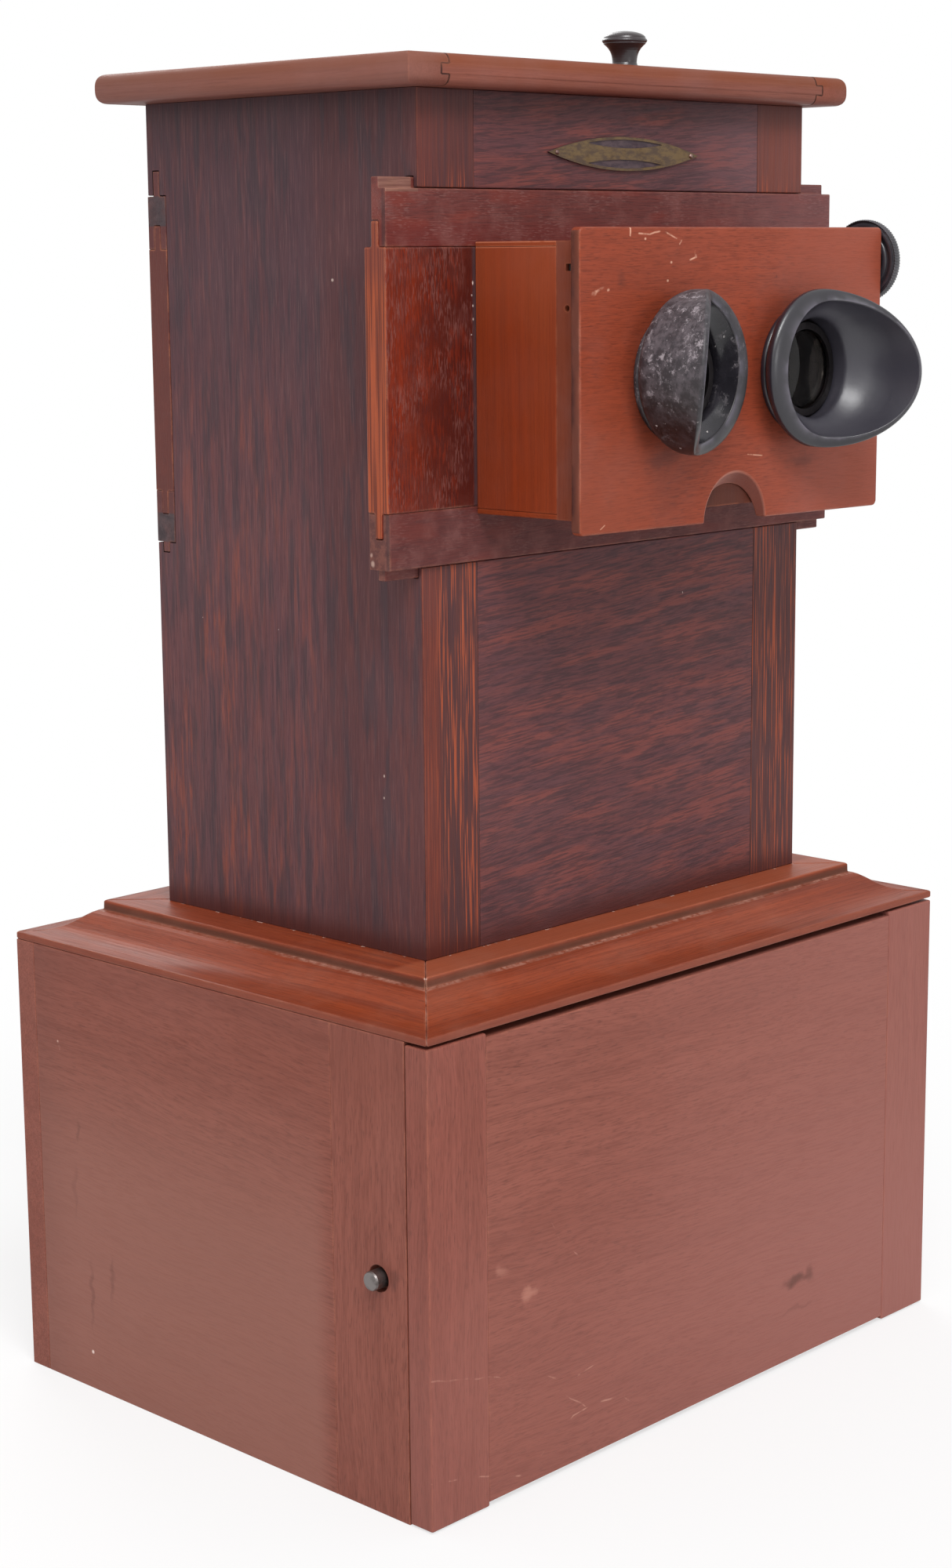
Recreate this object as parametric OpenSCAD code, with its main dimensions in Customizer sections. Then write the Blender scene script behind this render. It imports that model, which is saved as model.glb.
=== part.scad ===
// Tabletop stereoscope: a mahogany tower on a base cabinet, with a sliding
// lens panel, a telescoping lens box focused by rack and pinion, flared
// eyecups, a lifting carrier for glass slides, a ground-glass rear panel,
// a hinged lid and a front door with a push-button catch.
// Millimetres. The front faces -Y, +X is to the right as seen from the front,
// and the cabinet stands on Z = 0 with its middle on the Z axis.

/* [Base cabinet] */
// Width of the cabinet across the front
base_w = 274; // [250:2:300]
// Depth of the cabinet from front to back
base_d = 210; // [200:2:236]
// Height of the cabinet up to the moulding
base_h = 163.5; // [150:0.5:190]
// Thickness of the cabinet boards and of the door
board_t = 10; // [9:0.5:11.5]
// Width of the upright at the front edge of each cabinet side
side_stile_w = 34; // [28:1:42]
// Width of each upright of the door
door_stile_w = 27; // [22:1:34]
// Gap left above the uprights of the door
door_gap = 1; // [0.6:0.1:2]
// How much shorter the door's panel is at the top and at the bottom
door_panel_short = 1.4; // [0:0.1:2]

/* [Moulding] */
// Height of the moulding between the cabinet and the tower foot
moulding_h = 14; // [11:0.5:18]
// Width of the curved part of the moulding
ogee_w = 22.5; // [16:0.5:23.5]
// Height of the square edge at the bottom of the moulding
fillet_h = 2.8; // [1.5:0.1:4]
// Height of the small square step below the flat ledge
step_h = 3.5; // [2:0.1:5]

/* [Tower] */
// Width of the tower
tower_w = 198; // [190:1:206]
// Depth of the tower
tower_d = 131; // [126:1:138]
// Height of the tower from its foot to the lid
tower_h = 280.5; // [250:0.5:310]
// How far the tower stands ahead of the middle of the cabinet
tower_forward = 2; // [0:0.5:4]
// Thickness of the tower walls
wall_t = 9; // [8:0.5:10]
// Width of the uprights at the front corners
front_stile_w = 26; // [20:1:32]

/* [Lens panel] */
// Length of the lens panel and its rails
panel_w = 229; // [214:1:240]
// Height of the lens panel without its tongues
panel_h = 119; // [114:1:126]
// Height of the front board above the lens panel
panel_drop = 31; // [24:0.5:40]
// Thickness of the sliding panels
panel_t = 9.5; // [9:0.5:10.5]
// How far the sliding panels stand proud of the tower
panel_proud = 1.5; // [0.5:0.1:2]
// Height of the top and bottom rails
rail_h = 18; // [15:0.5:21]
// Thickness of the tongues and grooves
tongue_t = 3.2; // [2.4:0.1:3.6]
// Height of the running tongues
tongue_h = 3.5; // [2.5:0.1:4]
// How far the lens panel's running tongues stop short of its right end
tongue_short = 0.8; // [0:0.1:8]
// Height of the upper running tongue of the rear panel
rear_tongue_h = 8.4; // [5:0.1:9]
// Clearance round everything that slides
slide_gap = 0.3; // [0.2:0.05:0.5]

/* [Lens box] */
// Outer width of the lens box
box_w = 149; // [144:1:154]
// Outer height of the lens box
box_h = 87; // [84:1:90]
// How far the box walls reach out from the panel
box_depth = 35; // [30:1:40]
// Depth of the collar at the mouth of the box
collar_d = 9.2; // [9:0.1:11]
// Wall thickness of the lens box
box_wall = 6; // [5:0.5:6.5]
// Thickness of the visible lap of the top and bottom boards
lap_t = 1.7; // [1.2:0.1:3]

/* [Lens board] */
// Width of the lens board
lens_board_w = 157.6; // [156:0.2:164]
// Height of the lens board
lens_board_h = 95.5; // [93:0.5:100]
// Thickness of the lens board
lens_board_t = 4; // [3.5:0.1:5]
// Radius of the lens board's corners
lens_board_r = 2; // [1:0.5:4]
// Radius of the nose notch at the front face
nose_r = 15.6; // [12:0.2:17]
// Distance between the two lens axes
lens_spacing = 65; // [62:0.5:68]
// Radius of the lenses
lens_r = 14.4; // [13:0.1:15]
// Thickness of a lens in its middle
lens_t = 6.4; // [5:0.2:7]

/* [Eyecups] */
// Radius of the ring that sits on the lens board
cup_ring_r = 21; // [20.9:0.1:22.5]
// Greatest radius of the bell
cup_r = 26.3; // [25:0.1:27.5]
// Depth of the bell at the nose
cup_nose_depth = 8.6; // [8:0.1:12]
// Depth of the bell at the temple
cup_temple_depth = 31.5; // [28:0.5:36]
// How softly the rim turns from the low nose side into the temple side
cup_rim_ease = 0.2; // [0.1:0.05:0.4]
// Angle that each eyecup is turned clockwise on the lens board
cup_turn = 7; // [0:0.5:12]
// Wall thickness of the bell
cup_wall = 1.9; // [1.5:0.1:2.5]

/* [Focusing] */
// Travel of the lens board
focus_travel = 12; // [6:1:15]
// Tooth module of the racks and pinions
gear_module = 0.6; // [0.5:0.05:0.6]
// Teeth on each pinion
pinion_teeth = 12; // [11:1:13]
// Radius of the focusing knob
knob_r = 14; // [11:0.2:15]
// Radius of the focusing shaft
shaft_r = 2; // [1.6:0.1:2.2]

/* [Slides and rear panel] */
// Width of a glass slide
slide_w = 130; // [124:1:132]
// Height of a glass slide
slide_h = 60; // [56:1:62]
// Thickness of a glass slide
slide_t = 2; // [1.5:0.1:2.4]
// How far the slide carrier lifts
lift = 50; // [30:1:52]
// Distance from the back of the lens board to the slide
focus_gap = 94; // [88:1:100]
// Slots in each storage box
box_slots = 14; // [8:1:15]

/* [Lid] */
// Overhang of the lid at each side of the tower
lid_side = 13; // [8:0.5:16]
// Overhang of the lid at the front
lid_front = 10; // [6:0.5:14]
// Overhang of the lid at the back
lid_back = 11; // [9:0.5:14]
// Thickness of the lid
lid_t = 10; // [9:0.5:12]
// Width of the cross pieces at the lid's ends
cleat_w = 18; // [14:1:24]
// Length of the tongue between the lid board and its cross pieces
lid_tongue = 3.6; // [2.5:0.1:5]
// Radius of the lid knob
lid_knob_r = 7.6; // [6:0.1:9]
// Height of the lid knob
lid_knob_h = 11.4; // [9:0.1:14]

/* [Door catch] */
// Radius of the push button
button_r = 3.3; // [2.8:0.1:3.8]
// How far the button stands out
button_out = 4; // [3:0.1:6]
// Travel of the button
button_travel = 2.6; // [1.5:0.1:2.8]

/* [Hidden] */
$fn = 64;
eps = 0.02;
foot_z = base_h + moulding_h;
top_z = foot_z + tower_h;
half_w = tower_w / 2;
front_y = -tower_d / 2 - tower_forward;
back_y = tower_d / 2 - tower_forward;
inner_w = half_w - wall_t;
inner_front = front_y + wall_t;
inner_back = back_y - wall_t;
cab_front = -base_d / 2 + board_t + slide_gap;
cab_back = base_d / 2 - board_t;
cab_half = base_w / 2;
cab_in = cab_half - board_t;
door_back = -base_d / 2 + board_t;
door_low = 0.6;
door_high = base_h - door_gap;
floor_top = board_t;
strip_w = 46;

panel_z1 = top_z - panel_drop;
panel_z0 = panel_z1 - panel_h;
axis_z = (panel_z0 + panel_z1) / 2;
panel_front = front_y - panel_proud;
panel_back = panel_front + panel_t;
panel_mid = (panel_front + panel_back) / 2;
rear_out = back_y + 0.4;
rear_in = rear_out - panel_t;
rear_mid = (rear_out + rear_in) / 2;
rail_groove = 8.2;
window_half = box_w / 2 - box_wall;

box_z = axis_z - 0.5;
box_z0 = box_z - box_h / 2;
box_z1 = box_z + box_h / 2;
box_front = panel_front - box_depth;
collar_front = box_front - collar_d;
board_z = axis_z - 0.9;
board_back = collar_front - slide_gap;
board_front = board_back - lens_board_t;
eye_x = lens_spacing / 2;
seat_r = lens_r + 0.1;
cell_r = lens_r + 1.8;
cup_bore_r = cell_r + 0.4;
cup_groove_r = cup_ring_r - 3.2;

pitch_r = gear_module * pinion_teeth / 2;
tooth_add = gear_module;
tooth_ded = gear_module * 1.25;
shaft_y = board_back + pitch_r + tooth_add + 0.2;
shaft_z = box_z1 - box_wall - 1.4;
pitch_z = shaft_z - pitch_r;
pressure = 25;
backlash = 0.14;
rack_x = box_w / 2 - box_wall - 10;
rack_w = 5;
rack_root = pitch_z - tooth_ded;
tube_top = rack_root - 1.5;
tube_low = 2 * box_z - tube_top;
tube_half = window_half - slide_gap;
tube_wall = 5;
tube_back = board_back + collar_d + box_depth - 3;

carrier_t = 6;
slide_y = board_back + focus_gap;
carrier_half = inner_w - 2;
carrier_z0 = axis_z - slide_h / 2 - 7.5;
carrier_z1 = axis_z + slide_h / 2 + 7.5;
chamber_z = carrier_z0 - slide_gap;
lift_room = min(lift, top_z - carrier_z1 - 1);
arm_h = 8;
arm_t = 5;

lid_x = half_w + lid_side;
lid_y0 = front_y - lid_front;
lid_y1 = back_y + lid_back;
lid_z0 = top_z;
lid_z1 = top_z + lid_t;
lid_hinge_y = back_y + 3.2;
lid_hinge_z = top_z - 0.1;
knuckle_r = 2.2;
pin_r = 0.9;
leaf_t = 1.2;
hinge_len = 30;
door_leaf_w = 12;
lid_leaf_w = 16;
door_hinge_x = cab_half + knuckle_r;
door_hinge_y = door_back + slide_gap / 2;

button_inset = 13.3;
button_y = -base_d / 2 + board_t + button_inset;
button_z = (door_low + door_high) / 2;

ebony = [0.07, 0.07, 0.085];
mahogany = [0.52, 0.25, 0.18];
dark_wood = [0.33, 0.20, 0.20];
stile_wood = [0.46, 0.25, 0.18];
orange_wood = [0.62, 0.30, 0.18];
panel_wood = [0.45, 0.20, 0.15];
brass = [0.72, 0.58, 0.30];
steel = [0.55, 0.55, 0.57];
black_paint = [0.05, 0.05, 0.05];
glass = [0.80, 0.88, 0.88];

// Which piece to draw

// A block between two corners
module block(x0, x1, y0, y1, z0, z1) {
    translate([min(x0, x1), min(y0, y1), min(z0, z1)])
        cube([abs(x1 - x0), abs(y1 - y0), abs(z1 - z0)]);
}

// The same thing on the left and on the right
module both_sides() {
    children();
    mirror([1, 0, 0]) children();
}

// A cylinder along X between two ends
module rod_x(x0, x1, y, z, r) {
    translate([min(x0, x1), y, z])
        rotate([0, 90, 0])
            cylinder(r = r, h = abs(x1 - x0));
}

// A profile drawn in Y and Z, drawn out along X
module along_x(x0, x1) {
    translate([x0, 0, 0])
        rotate([90, 0, 90])
            linear_extrude(height = x1 - x0)
                children();
}

// A profile drawn in X and Z, drawn out along Y
module along_y(y0, y1) {
    translate([0, y1, 0])
        rotate([90, 0, 0])
            linear_extrude(height = y1 - y0)
                children();
}

// Base cabinet

module cabinet_floor() {
    color(mahogany)
        block(-cab_in, cab_in, cab_front, cab_back, 0, floor_top);
}

module cabinet_side_panels() {
    color(mahogany)
        both_sides()
            block(cab_in, cab_half, cab_front + side_stile_w, cab_back, 0, base_h);
}

// The left upright is bored for the push button, the right one is let in
// for the door hinges.
module cabinet_side_stiles() {
    color(mahogany) {
        difference() {
            block(-cab_half, -cab_in, cab_front, cab_front + side_stile_w, 0, base_h);
            rod_x(-cab_half - 1, -cab_in + 1, button_y, button_z, button_r + 0.06);
            rod_x(-cab_half - 1, -cab_half + button_travel + 1.4, button_y, button_z, button_r + 1.2);
        }
        difference() {
            block(cab_in, cab_half, cab_front, cab_front + side_stile_w, 0, base_h);
            for (z = door_hinge_spots())
                block(cab_half - door_leaf_w, cab_half + 1, cab_front - 1, cab_front + leaf_t,
                    z - hinge_len / 2, z + hinge_len / 2);
        }
    }
}

module cabinet_back() {
    color(mahogany)
        block(-cab_half, cab_half, cab_back, base_d / 2, 0, base_h);
}

module cabinet_top() {
    color(mahogany)
        block(-cab_in, cab_in, cab_front, cab_back, base_h - board_t, base_h);
}

shelf_z = floor_top + slide_h + 13;

module cabinet_shelf() {
    color(mahogany)
        block(-cab_in, cab_in, cab_front + 26, cab_back, shelf_z, shelf_z + 6);
}

// Moulding: a square edge, a hollow that turns into a round, a square step
// and a flat ledge. u runs inwards from the outer face.

function ogee(t) = (1 - cos(180 * pow(t, 1.7))) / 2;

module moulding_profile() {
    rise = moulding_h - fillet_h - step_h;
    curve = [for (i = [0:14]) [0.8 + (ogee_w - 0.8) * i / 14, fillet_h + rise * ogee(i / 14)]];
    polygon(concat(
        [[0, 0], [0, fillet_h]],
        curve,
        [[ogee_w + 0.2, moulding_h], [strip_w, moulding_h], [strip_w, 0]]
    ));
}

// One side of the moulding frame, its ends cut to the mitre. The length is
// measured at the outer face.
module moulding_strip(length) {
    intersection() {
        rotate([90, 0, 90])
            translate([0, 0, -length / 2])
                linear_extrude(height = length)
                    moulding_profile();
        linear_extrude(height = moulding_h)
            polygon([
                [-length / 2, 0], [length / 2, 0],
                [length / 2 - strip_w, strip_w], [-length / 2 + strip_w, strip_w]
            ]);
    }
}

module moulding_front() {
    color(orange_wood)
        translate([0, -base_d / 2, base_h])
            moulding_strip(base_w);
}

module moulding_back() {
    color(orange_wood)
        translate([0, base_d / 2, base_h])
            rotate([0, 0, 180])
                moulding_strip(base_w);
}

module moulding_sides() {
    color(orange_wood)
        both_sides()
            translate([base_w / 2, 0, base_h])
                rotate([0, 0, 90])
                    moulding_strip(base_d);
}

// Storage for slides: two grooved boxes side by side on the cabinet floor

box_x = (cab_in - 1) / 2;
store_half = 58;
store_half_y = slide_w / 2 + 5;
store_y = cab_back - store_half_y - 6;
store_wall = 6.5;
store_h = 45;
slot_pitch = (2 * store_half - 18) / box_slots;

module slide_box() {
    difference() {
        block(-store_half, store_half, -store_half_y, store_half_y, 0, store_h);
        block(-store_half + 5, store_half - 5, -store_half_y + store_wall,
            store_half_y - store_wall, 4, store_h + 1);
        for (i = [0:box_slots - 1])
            translate([(i - (box_slots - 1) / 2) * slot_pitch, 0, 0])
                block(-slide_t / 2 - 0.4, slide_t / 2 + 0.4, -slide_w / 2 - 0.6,
                    slide_w / 2 + 0.6, 4, store_h + 1);
        // Finger dips in the two long walls
        for (s = [-1, 1])
            translate([0, s * store_half_y, store_h + 4])
                rotate([90, 0, 0])
                    cylinder(r = 17, h = 30, center = true);
    }
}

module slide_boxes() {
    color(mahogany)
        both_sides()
            translate([box_x, store_y, floor_top])
                slide_box();
}

module stored_slides() {
    color(glass)
        both_sides()
            translate([box_x, store_y, floor_top + 4])
                for (i = [0:box_slots / 2 - 2])
                    translate([(i - (box_slots - 1) / 2) * slot_pitch, 0, 0])
                        block(-slide_t / 2, slide_t / 2, -slide_w / 2, slide_w / 2, 0, slide_h);
}

// Hinges: knuckles in thirds, the middle one on the moving leaf

function door_hinge_spots() = [32, door_high - 32];

module hinge_fixed(len) {
    difference() {
        cylinder(r = knuckle_r, h = len, center = true);
        cylinder(r = knuckle_r + 1, h = len / 3 + 0.4, center = true);
    }
    cylinder(r = pin_r, h = len, center = true);
}

module hinge_moving(len) {
    difference() {
        cylinder(r = knuckle_r, h = len / 3, center = true);
        cylinder(r = pin_r + 0.05, h = len, center = true);
    }
}

// The leaf runs from the knuckle along -X and its moving part is cut away
module door_hinge_fixed_leaves() {
    color(brass)
        for (z = door_hinge_spots())
            translate([0, 0, z]) {
                translate([door_hinge_x, door_hinge_y, 0])
                    hinge_fixed(hinge_len);
                difference() {
                    block(cab_half - door_leaf_w, door_hinge_x, cab_front, cab_front + leaf_t,
                        -hinge_len / 2, hinge_len / 2);
                    block(cab_half - 0.1, door_hinge_x + 1, cab_front - 1, cab_front + leaf_t + 1,
                        -hinge_len / 6 - 0.2, hinge_len / 6 + 0.2);
                    translate([door_hinge_x, door_hinge_y, 0])
                        cylinder(r = knuckle_r - eps, h = hinge_len + 1, center = true);
                }
            }
}

module door_hinge_moving_leaves() {
    color(brass)
        for (z = door_hinge_spots())
            translate([0, 0, z]) {
                translate([door_hinge_x, door_hinge_y, 0])
                    hinge_moving(hinge_len);
                difference() {
                    block(cab_half - door_leaf_w, door_hinge_x, door_back - leaf_t, door_back,
                        -hinge_len / 2, hinge_len / 2);
                    for (s = [-1, 1])
                        translate([0, 0, s * hinge_len / 3])
                            block(cab_half - 0.1, door_hinge_x + 1, door_back - leaf_t - 1,
                                door_back + 1, -hinge_len / 6 - 0.2, hinge_len / 6 + 0.2);
                    translate([door_hinge_x, door_hinge_y, 0])
                        cylinder(r = knuckle_r - eps, h = hinge_len + 1, center = true);
                }
            }
}

// Tower

// The ways that the two sliding panels run in, with their tongue grooves
module panel_way(y_back, y_out, mid, upper_tongue_h) {
    g = slide_gap;
    block(-half_w - 1, half_w + 1, y_back, y_out, panel_z0 - g, panel_z1 + g);
    block(-half_w - 1, half_w + 1, mid - tongue_t / 2 - g / 2, mid + tongue_t / 2 + g / 2,
        panel_z0 - tongue_h - g, panel_z1 + upper_tongue_h + g);
}

module panel_ways() {
    panel_way(front_y - 1, panel_back + slide_gap, panel_mid, tongue_h);
    panel_way(back_y + 1, rear_in - slide_gap, rear_mid, rear_tongue_h);
}

module tower_side_outline() {
    polygon([
        [half_w, front_y], [half_w, back_y],
        [inner_w, inner_back], [inner_w, inner_front]
    ]);
}

module tower_side() {
    difference() {
        translate([0, 0, foot_z])
            linear_extrude(height = tower_h)
                tower_side_outline();
        panel_ways();
    }
}

module tower_left_side() {
    color(dark_wood)
        mirror([1, 0, 0])
            tower_side();
}

// The right side has the slot for the carrier's handle
module tower_right_side() {
    color(dark_wood)
        difference() {
            tower_side();
            block(inner_w - 1, half_w + 1, slide_y - arm_t / 2 - slide_gap,
                slide_y + arm_t / 2 + slide_gap, axis_z - arm_h / 2 - slide_gap,
                axis_z + arm_h / 2 + lift_room + slide_gap);
        }
}

module front_stile(z0, z1) {
    difference() {
        translate([0, 0, z0])
            linear_extrude(height = z1 - z0)
                polygon([
                    [half_w, front_y], [half_w - front_stile_w, front_y],
                    [half_w - front_stile_w, inner_front], [inner_w, inner_front]
                ]);
        panel_ways();
    }
}

module upper_front_stiles() {
    color(stile_wood)
        both_sides()
            front_stile(panel_z1 + slide_gap, top_z);
}

module lower_front_stiles() {
    color(stile_wood)
        both_sides()
            front_stile(foot_z, panel_z0 - slide_gap);
}

module front_board(z0, z1) {
    w = half_w - front_stile_w;
    difference() {
        block(-w, w, front_y, inner_front, z0, z1);
        panel_ways();
    }
}

module upper_front_board() {
    color(dark_wood)
        front_board(panel_z1 + slide_gap, top_z);
}

module lower_front_board() {
    color(dark_wood)
        front_board(foot_z, panel_z0 - slide_gap);
}

module back_board(z0, z1) {
    difference() {
        translate([0, 0, z0])
            linear_extrude(height = z1 - z0)
                polygon([
                    [-half_w, back_y], [half_w, back_y],
                    [inner_w, inner_back], [-inner_w, inner_back]
                ]);
        panel_ways();
    }
}

module upper_back_board() {
    color(dark_wood)
        back_board(panel_z1 + slide_gap, top_z);
}

module lower_back_board() {
    color(dark_wood)
        back_board(foot_z, panel_z0 - slide_gap);
}

// Floor of the viewing chamber, which the carrier comes down on
module chamber_floor() {
    color(black_paint)
        block(-inner_w, inner_w, panel_back + slide_gap, rear_in - slide_gap,
            chamber_z - 6, chamber_z);
}

// Partition that keeps each eye to its own picture
module tower_septum() {
    color(black_paint)
        block(-1, 1, panel_back + slide_gap, slide_y - carrier_t / 2 - 4,
            chamber_z, axis_z + slide_h / 2 + 6);
}

// Grooved guides on the side walls
module carrier_guides() {
    groove = carrier_t / 2 + slide_gap;
    color(black_paint)
        difference() {
            both_sides()
                difference() {
                    block(inner_w - 6, inner_w, slide_y - groove - 5, slide_y + groove + 5,
                        chamber_z, top_z - 1);
                    block(inner_w - 7, carrier_half + slide_gap, slide_y - groove,
                        slide_y + groove, chamber_z - 1, top_z);
                }
            block(carrier_half, inner_w + 1, slide_y - arm_t / 2 - slide_gap,
                slide_y + arm_t / 2 + slide_gap, axis_z - arm_h / 2 - slide_gap,
                axis_z + arm_h / 2 + lift_room + slide_gap);
        }
}

// Bare plate with the outline of two arcs that meet in points
plate_half = 38.5;
plate_rise = 5.6;
plate_z = (panel_z1 + top_z) / 2 - 3.2;
plate_arc = (plate_half * plate_half + plate_rise * plate_rise) / (2 * plate_rise);

module plate_outline(inset) {
    intersection_for (s = [-1, 1])
        translate([0, s * (plate_rise - plate_arc)])
            circle(r = plate_arc - inset, $fn = 180);
}

module name_plate() {
    color(brass)
        translate([0, front_y, plate_z])
            rotate([90, 0, 0])
                difference() {
                    linear_extrude(height = 0.9)
                        plate_outline(0);
                    // Sunk fields above and below a plain middle band
                    for (s = [-1, 1])
                        translate([0, 0, 0.55])
                            linear_extrude(height = 1)
                                intersection() {
                                    plate_outline(0.9);
                                    translate([0, s * (plate_arc + 1.9)])
                                        circle(r = plate_arc, $fn = 180);
                                }
                    for (s = [-1, 1])
                        translate([s * (plate_half - 4), 0, -1])
                            cylinder(r = 0.5, h = 4);
                }
}

// Lid

lid_board_x = lid_x - cleat_w;

// The board with every edge fully rounded
module lid_blank() {
    r = lid_t / 2;
    mid = lid_z0 + r;
    intersection() {
        along_x(-lid_x, lid_x)
            union() {
                translate([lid_y0 + r, lid_z0])
                    square([lid_y1 - lid_y0 - lid_t, lid_t]);
                for (y = [lid_y0 + r, lid_y1 - r])
                    translate([y, mid])
                        circle(r = r);
            }
        along_y(lid_y0, lid_y1)
            union() {
                translate([-lid_x + r, lid_z0])
                    square([2 * lid_x - lid_t, lid_t]);
                for (x = [-lid_x + r, lid_x - r])
                    translate([x, mid])
                        circle(r = r);
            }
    }
}

// Everything between the two cross pieces, with the tongues on its ends
module lid_middle(slack) {
    block(-lid_board_x, lid_board_x, lid_y0 - 1, lid_y1 + 1, lid_z0 - 1, lid_z1 + 1);
    block(-lid_board_x - lid_tongue - slack, lid_board_x + lid_tongue + slack,
        lid_y0 - 1, lid_y1 + 1, lid_z0 + lid_t / 3, lid_z1 - lid_t / 3);
}

// Room in the underside for the hinge knuckles and the moving leaves
module lid_hinge_cuts() {
    for (s = [-1, 1]) {
        rod_x(s * lid_hinge_x - hinge_len / 2 - 0.5, s * lid_hinge_x + hinge_len / 2 + 0.5,
            lid_hinge_y, lid_hinge_z, knuckle_r + 0.4);
        block(s * lid_hinge_x - hinge_len / 2, s * lid_hinge_x + hinge_len / 2,
            lid_hinge_y - lid_leaf_w, lid_hinge_y, lid_z0 - 1, lid_z0 + leaf_t);
    }
}

lid_hinge_x = half_w - 38;

module lid_board() {
    color(mahogany)
        difference() {
            intersection() {
                lid_blank();
                lid_middle(0);
            }
            lid_hinge_cuts();
        }
}

module lid_cleats() {
    color(mahogany)
        difference() {
            lid_blank();
            lid_middle(0.2);
        }
}

// Turned knob: a slim stem that sweeps out into a shallow cap
module lid_knob() {
    h = lid_knob_h;
    r = lid_knob_r;
    color(ebony)
        translate([0, lid_y0 + 9.6, lid_z1])
            rotate_extrude()
                polygon(concat(
                    [[0, 0], [0.60 * r, 0], [0.57 * r, 0.04 * h]],
                    [for (i = [0:8]) [(0.54 + 0.05 * i / 8 + 0.34 * pow(i / 8, 3)) * r,
                        (0.10 + 0.54 * i / 8) * h]],
                    [for (i = [0:6]) [(0.93 + 0.07 * sin(180 * i / 6)) * r,
                        (0.66 + 0.13 * i / 6) * h]],
                    [for (i = [1:7]) [0.93 * r * cos(90 * i / 7),
                        (0.79 + 0.21 * sin(90 * i / 7)) * h]]
                ));
}

module lid_hinge_fixed_leaves() {
    color(brass)
        for (s = [-1, 1])
            translate([s * lid_hinge_x, 0, 0]) {
                translate([0, lid_hinge_y, lid_hinge_z])
                    rotate([0, 90, 0])
                        hinge_fixed(hinge_len);
                difference() {
                    union() {
                        block(-hinge_len / 2, hinge_len / 2, back_y, back_y + leaf_t,
                            lid_hinge_z - lid_leaf_w - 1, lid_hinge_z - 0.6);
                        block(-hinge_len / 2, hinge_len / 2, back_y, lid_hinge_y,
                            lid_hinge_z - leaf_t - 0.8, lid_hinge_z - 0.6);
                    }
                    block(-hinge_len / 6 - 0.2, hinge_len / 6 + 0.2, back_y + 0.4,
                        lid_hinge_y + 4, lid_hinge_z - 3.2, lid_hinge_z + 3);
                    translate([0, lid_hinge_y, lid_hinge_z])
                        rotate([0, 90, 0])
                            cylinder(r = knuckle_r - eps, h = hinge_len + 1, center = true);
                }
            }
}

module lid_hinge_moving_leaves() {
    color(brass)
        for (s = [-1, 1])
            translate([s * lid_hinge_x, 0, 0]) {
                translate([0, lid_hinge_y, lid_hinge_z])
                    rotate([0, 90, 0])
                        hinge_moving(hinge_len);
                difference() {
                    block(-hinge_len / 2, hinge_len / 2, lid_hinge_y - lid_leaf_w, lid_hinge_y,
                        lid_z0, lid_z0 + leaf_t);
                    for (t = [-1, 1])
                        translate([t * hinge_len / 3, 0, 0])
                            block(-hinge_len / 6 - 0.2, hinge_len / 6 + 0.2,
                                lid_hinge_y - knuckle_r - 0.4, lid_hinge_y + 1,
                                lid_z0 - 1, lid_z0 + leaf_t + 1);
                    translate([0, lid_hinge_y, lid_hinge_z])
                        rotate([0, 90, 0])
                            cylinder(r = knuckle_r - eps, h = hinge_len + 1, center = true);
                }
            }
}

// Sliding panels: rails with a running tongue on the outer edge and a deep
// groove in the inner edge, shown as a section with the outer edge up. An
// open-backed rail has a rebate in place of the groove.

module rail_section(mid, open_back) {
    t = panel_t / 2;
    k = tongue_t / 2;
    polygon([
        [mid - t, 0], [mid - k, 0], [mid - k, rail_groove], [mid + k, rail_groove],
        [mid + k, open_back ? rail_groove + 1 : 0],
        [open_back ? mid + k : mid + t, open_back ? rail_groove + 1 : 0],
        [open_back ? mid + k : mid + t, rail_h], [mid - t, rail_h]
    ]);
}

module tongue_section(mid, high) {
    translate([mid - tongue_t / 2, rail_h - 1])
        square([tongue_t, high + 1]);
}

// The tongue stops short of the rail's right end
module top_rail(half, mid, high, short_right, open_back) {
    translate([0, 0, panel_z1 - rail_h]) {
        along_x(-half, half)
            rail_section(mid, open_back);
        along_x(-half, half - short_right)
            tongue_section(mid, high);
    }
}

module bottom_rail(half, mid, short_left, short_right) {
    translate([0, 0, panel_z0 + rail_h])
        mirror([0, 0, 1]) {
            along_x(-half, half)
                rail_section(mid, false);
            along_x(-half + short_left, half - short_right)
                tongue_section(mid, tongue_h);
        }
}

// An upright between the rails, its tongues deep in their grooves
module upright(x0, x1, mid) {
    t = panel_t / 2;
    k = tongue_t / 2;
    low = panel_z0 + rail_h;
    high = panel_z1 - rail_h;
    d = rail_groove - 0.2;
    along_x(x0, x1)
        polygon([
            [mid - t, low], [mid - k, low], [mid - k, low - d], [mid + k, low - d],
            [mid + k, low], [mid + t, low], [mid + t, high], [mid + k, high],
            [mid + k, high + d], [mid - k, high + d], [mid - k, high], [mid - t, high]
        ]);
}

module lens_panel_top_rail() {
    color(panel_wood)
        top_rail(panel_w / 2, panel_mid, tongue_h, tongue_short, true);
}

module lens_panel_bottom_rail() {
    color(panel_wood)
        bottom_rail(panel_w / 2, panel_mid, 0.8, tongue_short);
}

module lens_panel_boards() {
    color(panel_wood)
        both_sides()
            upright(window_half, panel_w / 2 + 0.4, panel_mid);
}

module rear_panel_rails() {
    color(dark_wood) {
        top_rail(half_w, rear_mid, rear_tongue_h, 0, false);
        bottom_rail(half_w, rear_mid, 0, 0);
    }
}

rear_window = half_w - 24;

module rear_panel_stiles() {
    color(panel_wood)
        difference() {
            both_sides()
                upright(rear_window, half_w, rear_mid);
            ground_glass_blank(0.1);
        }
}

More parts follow.
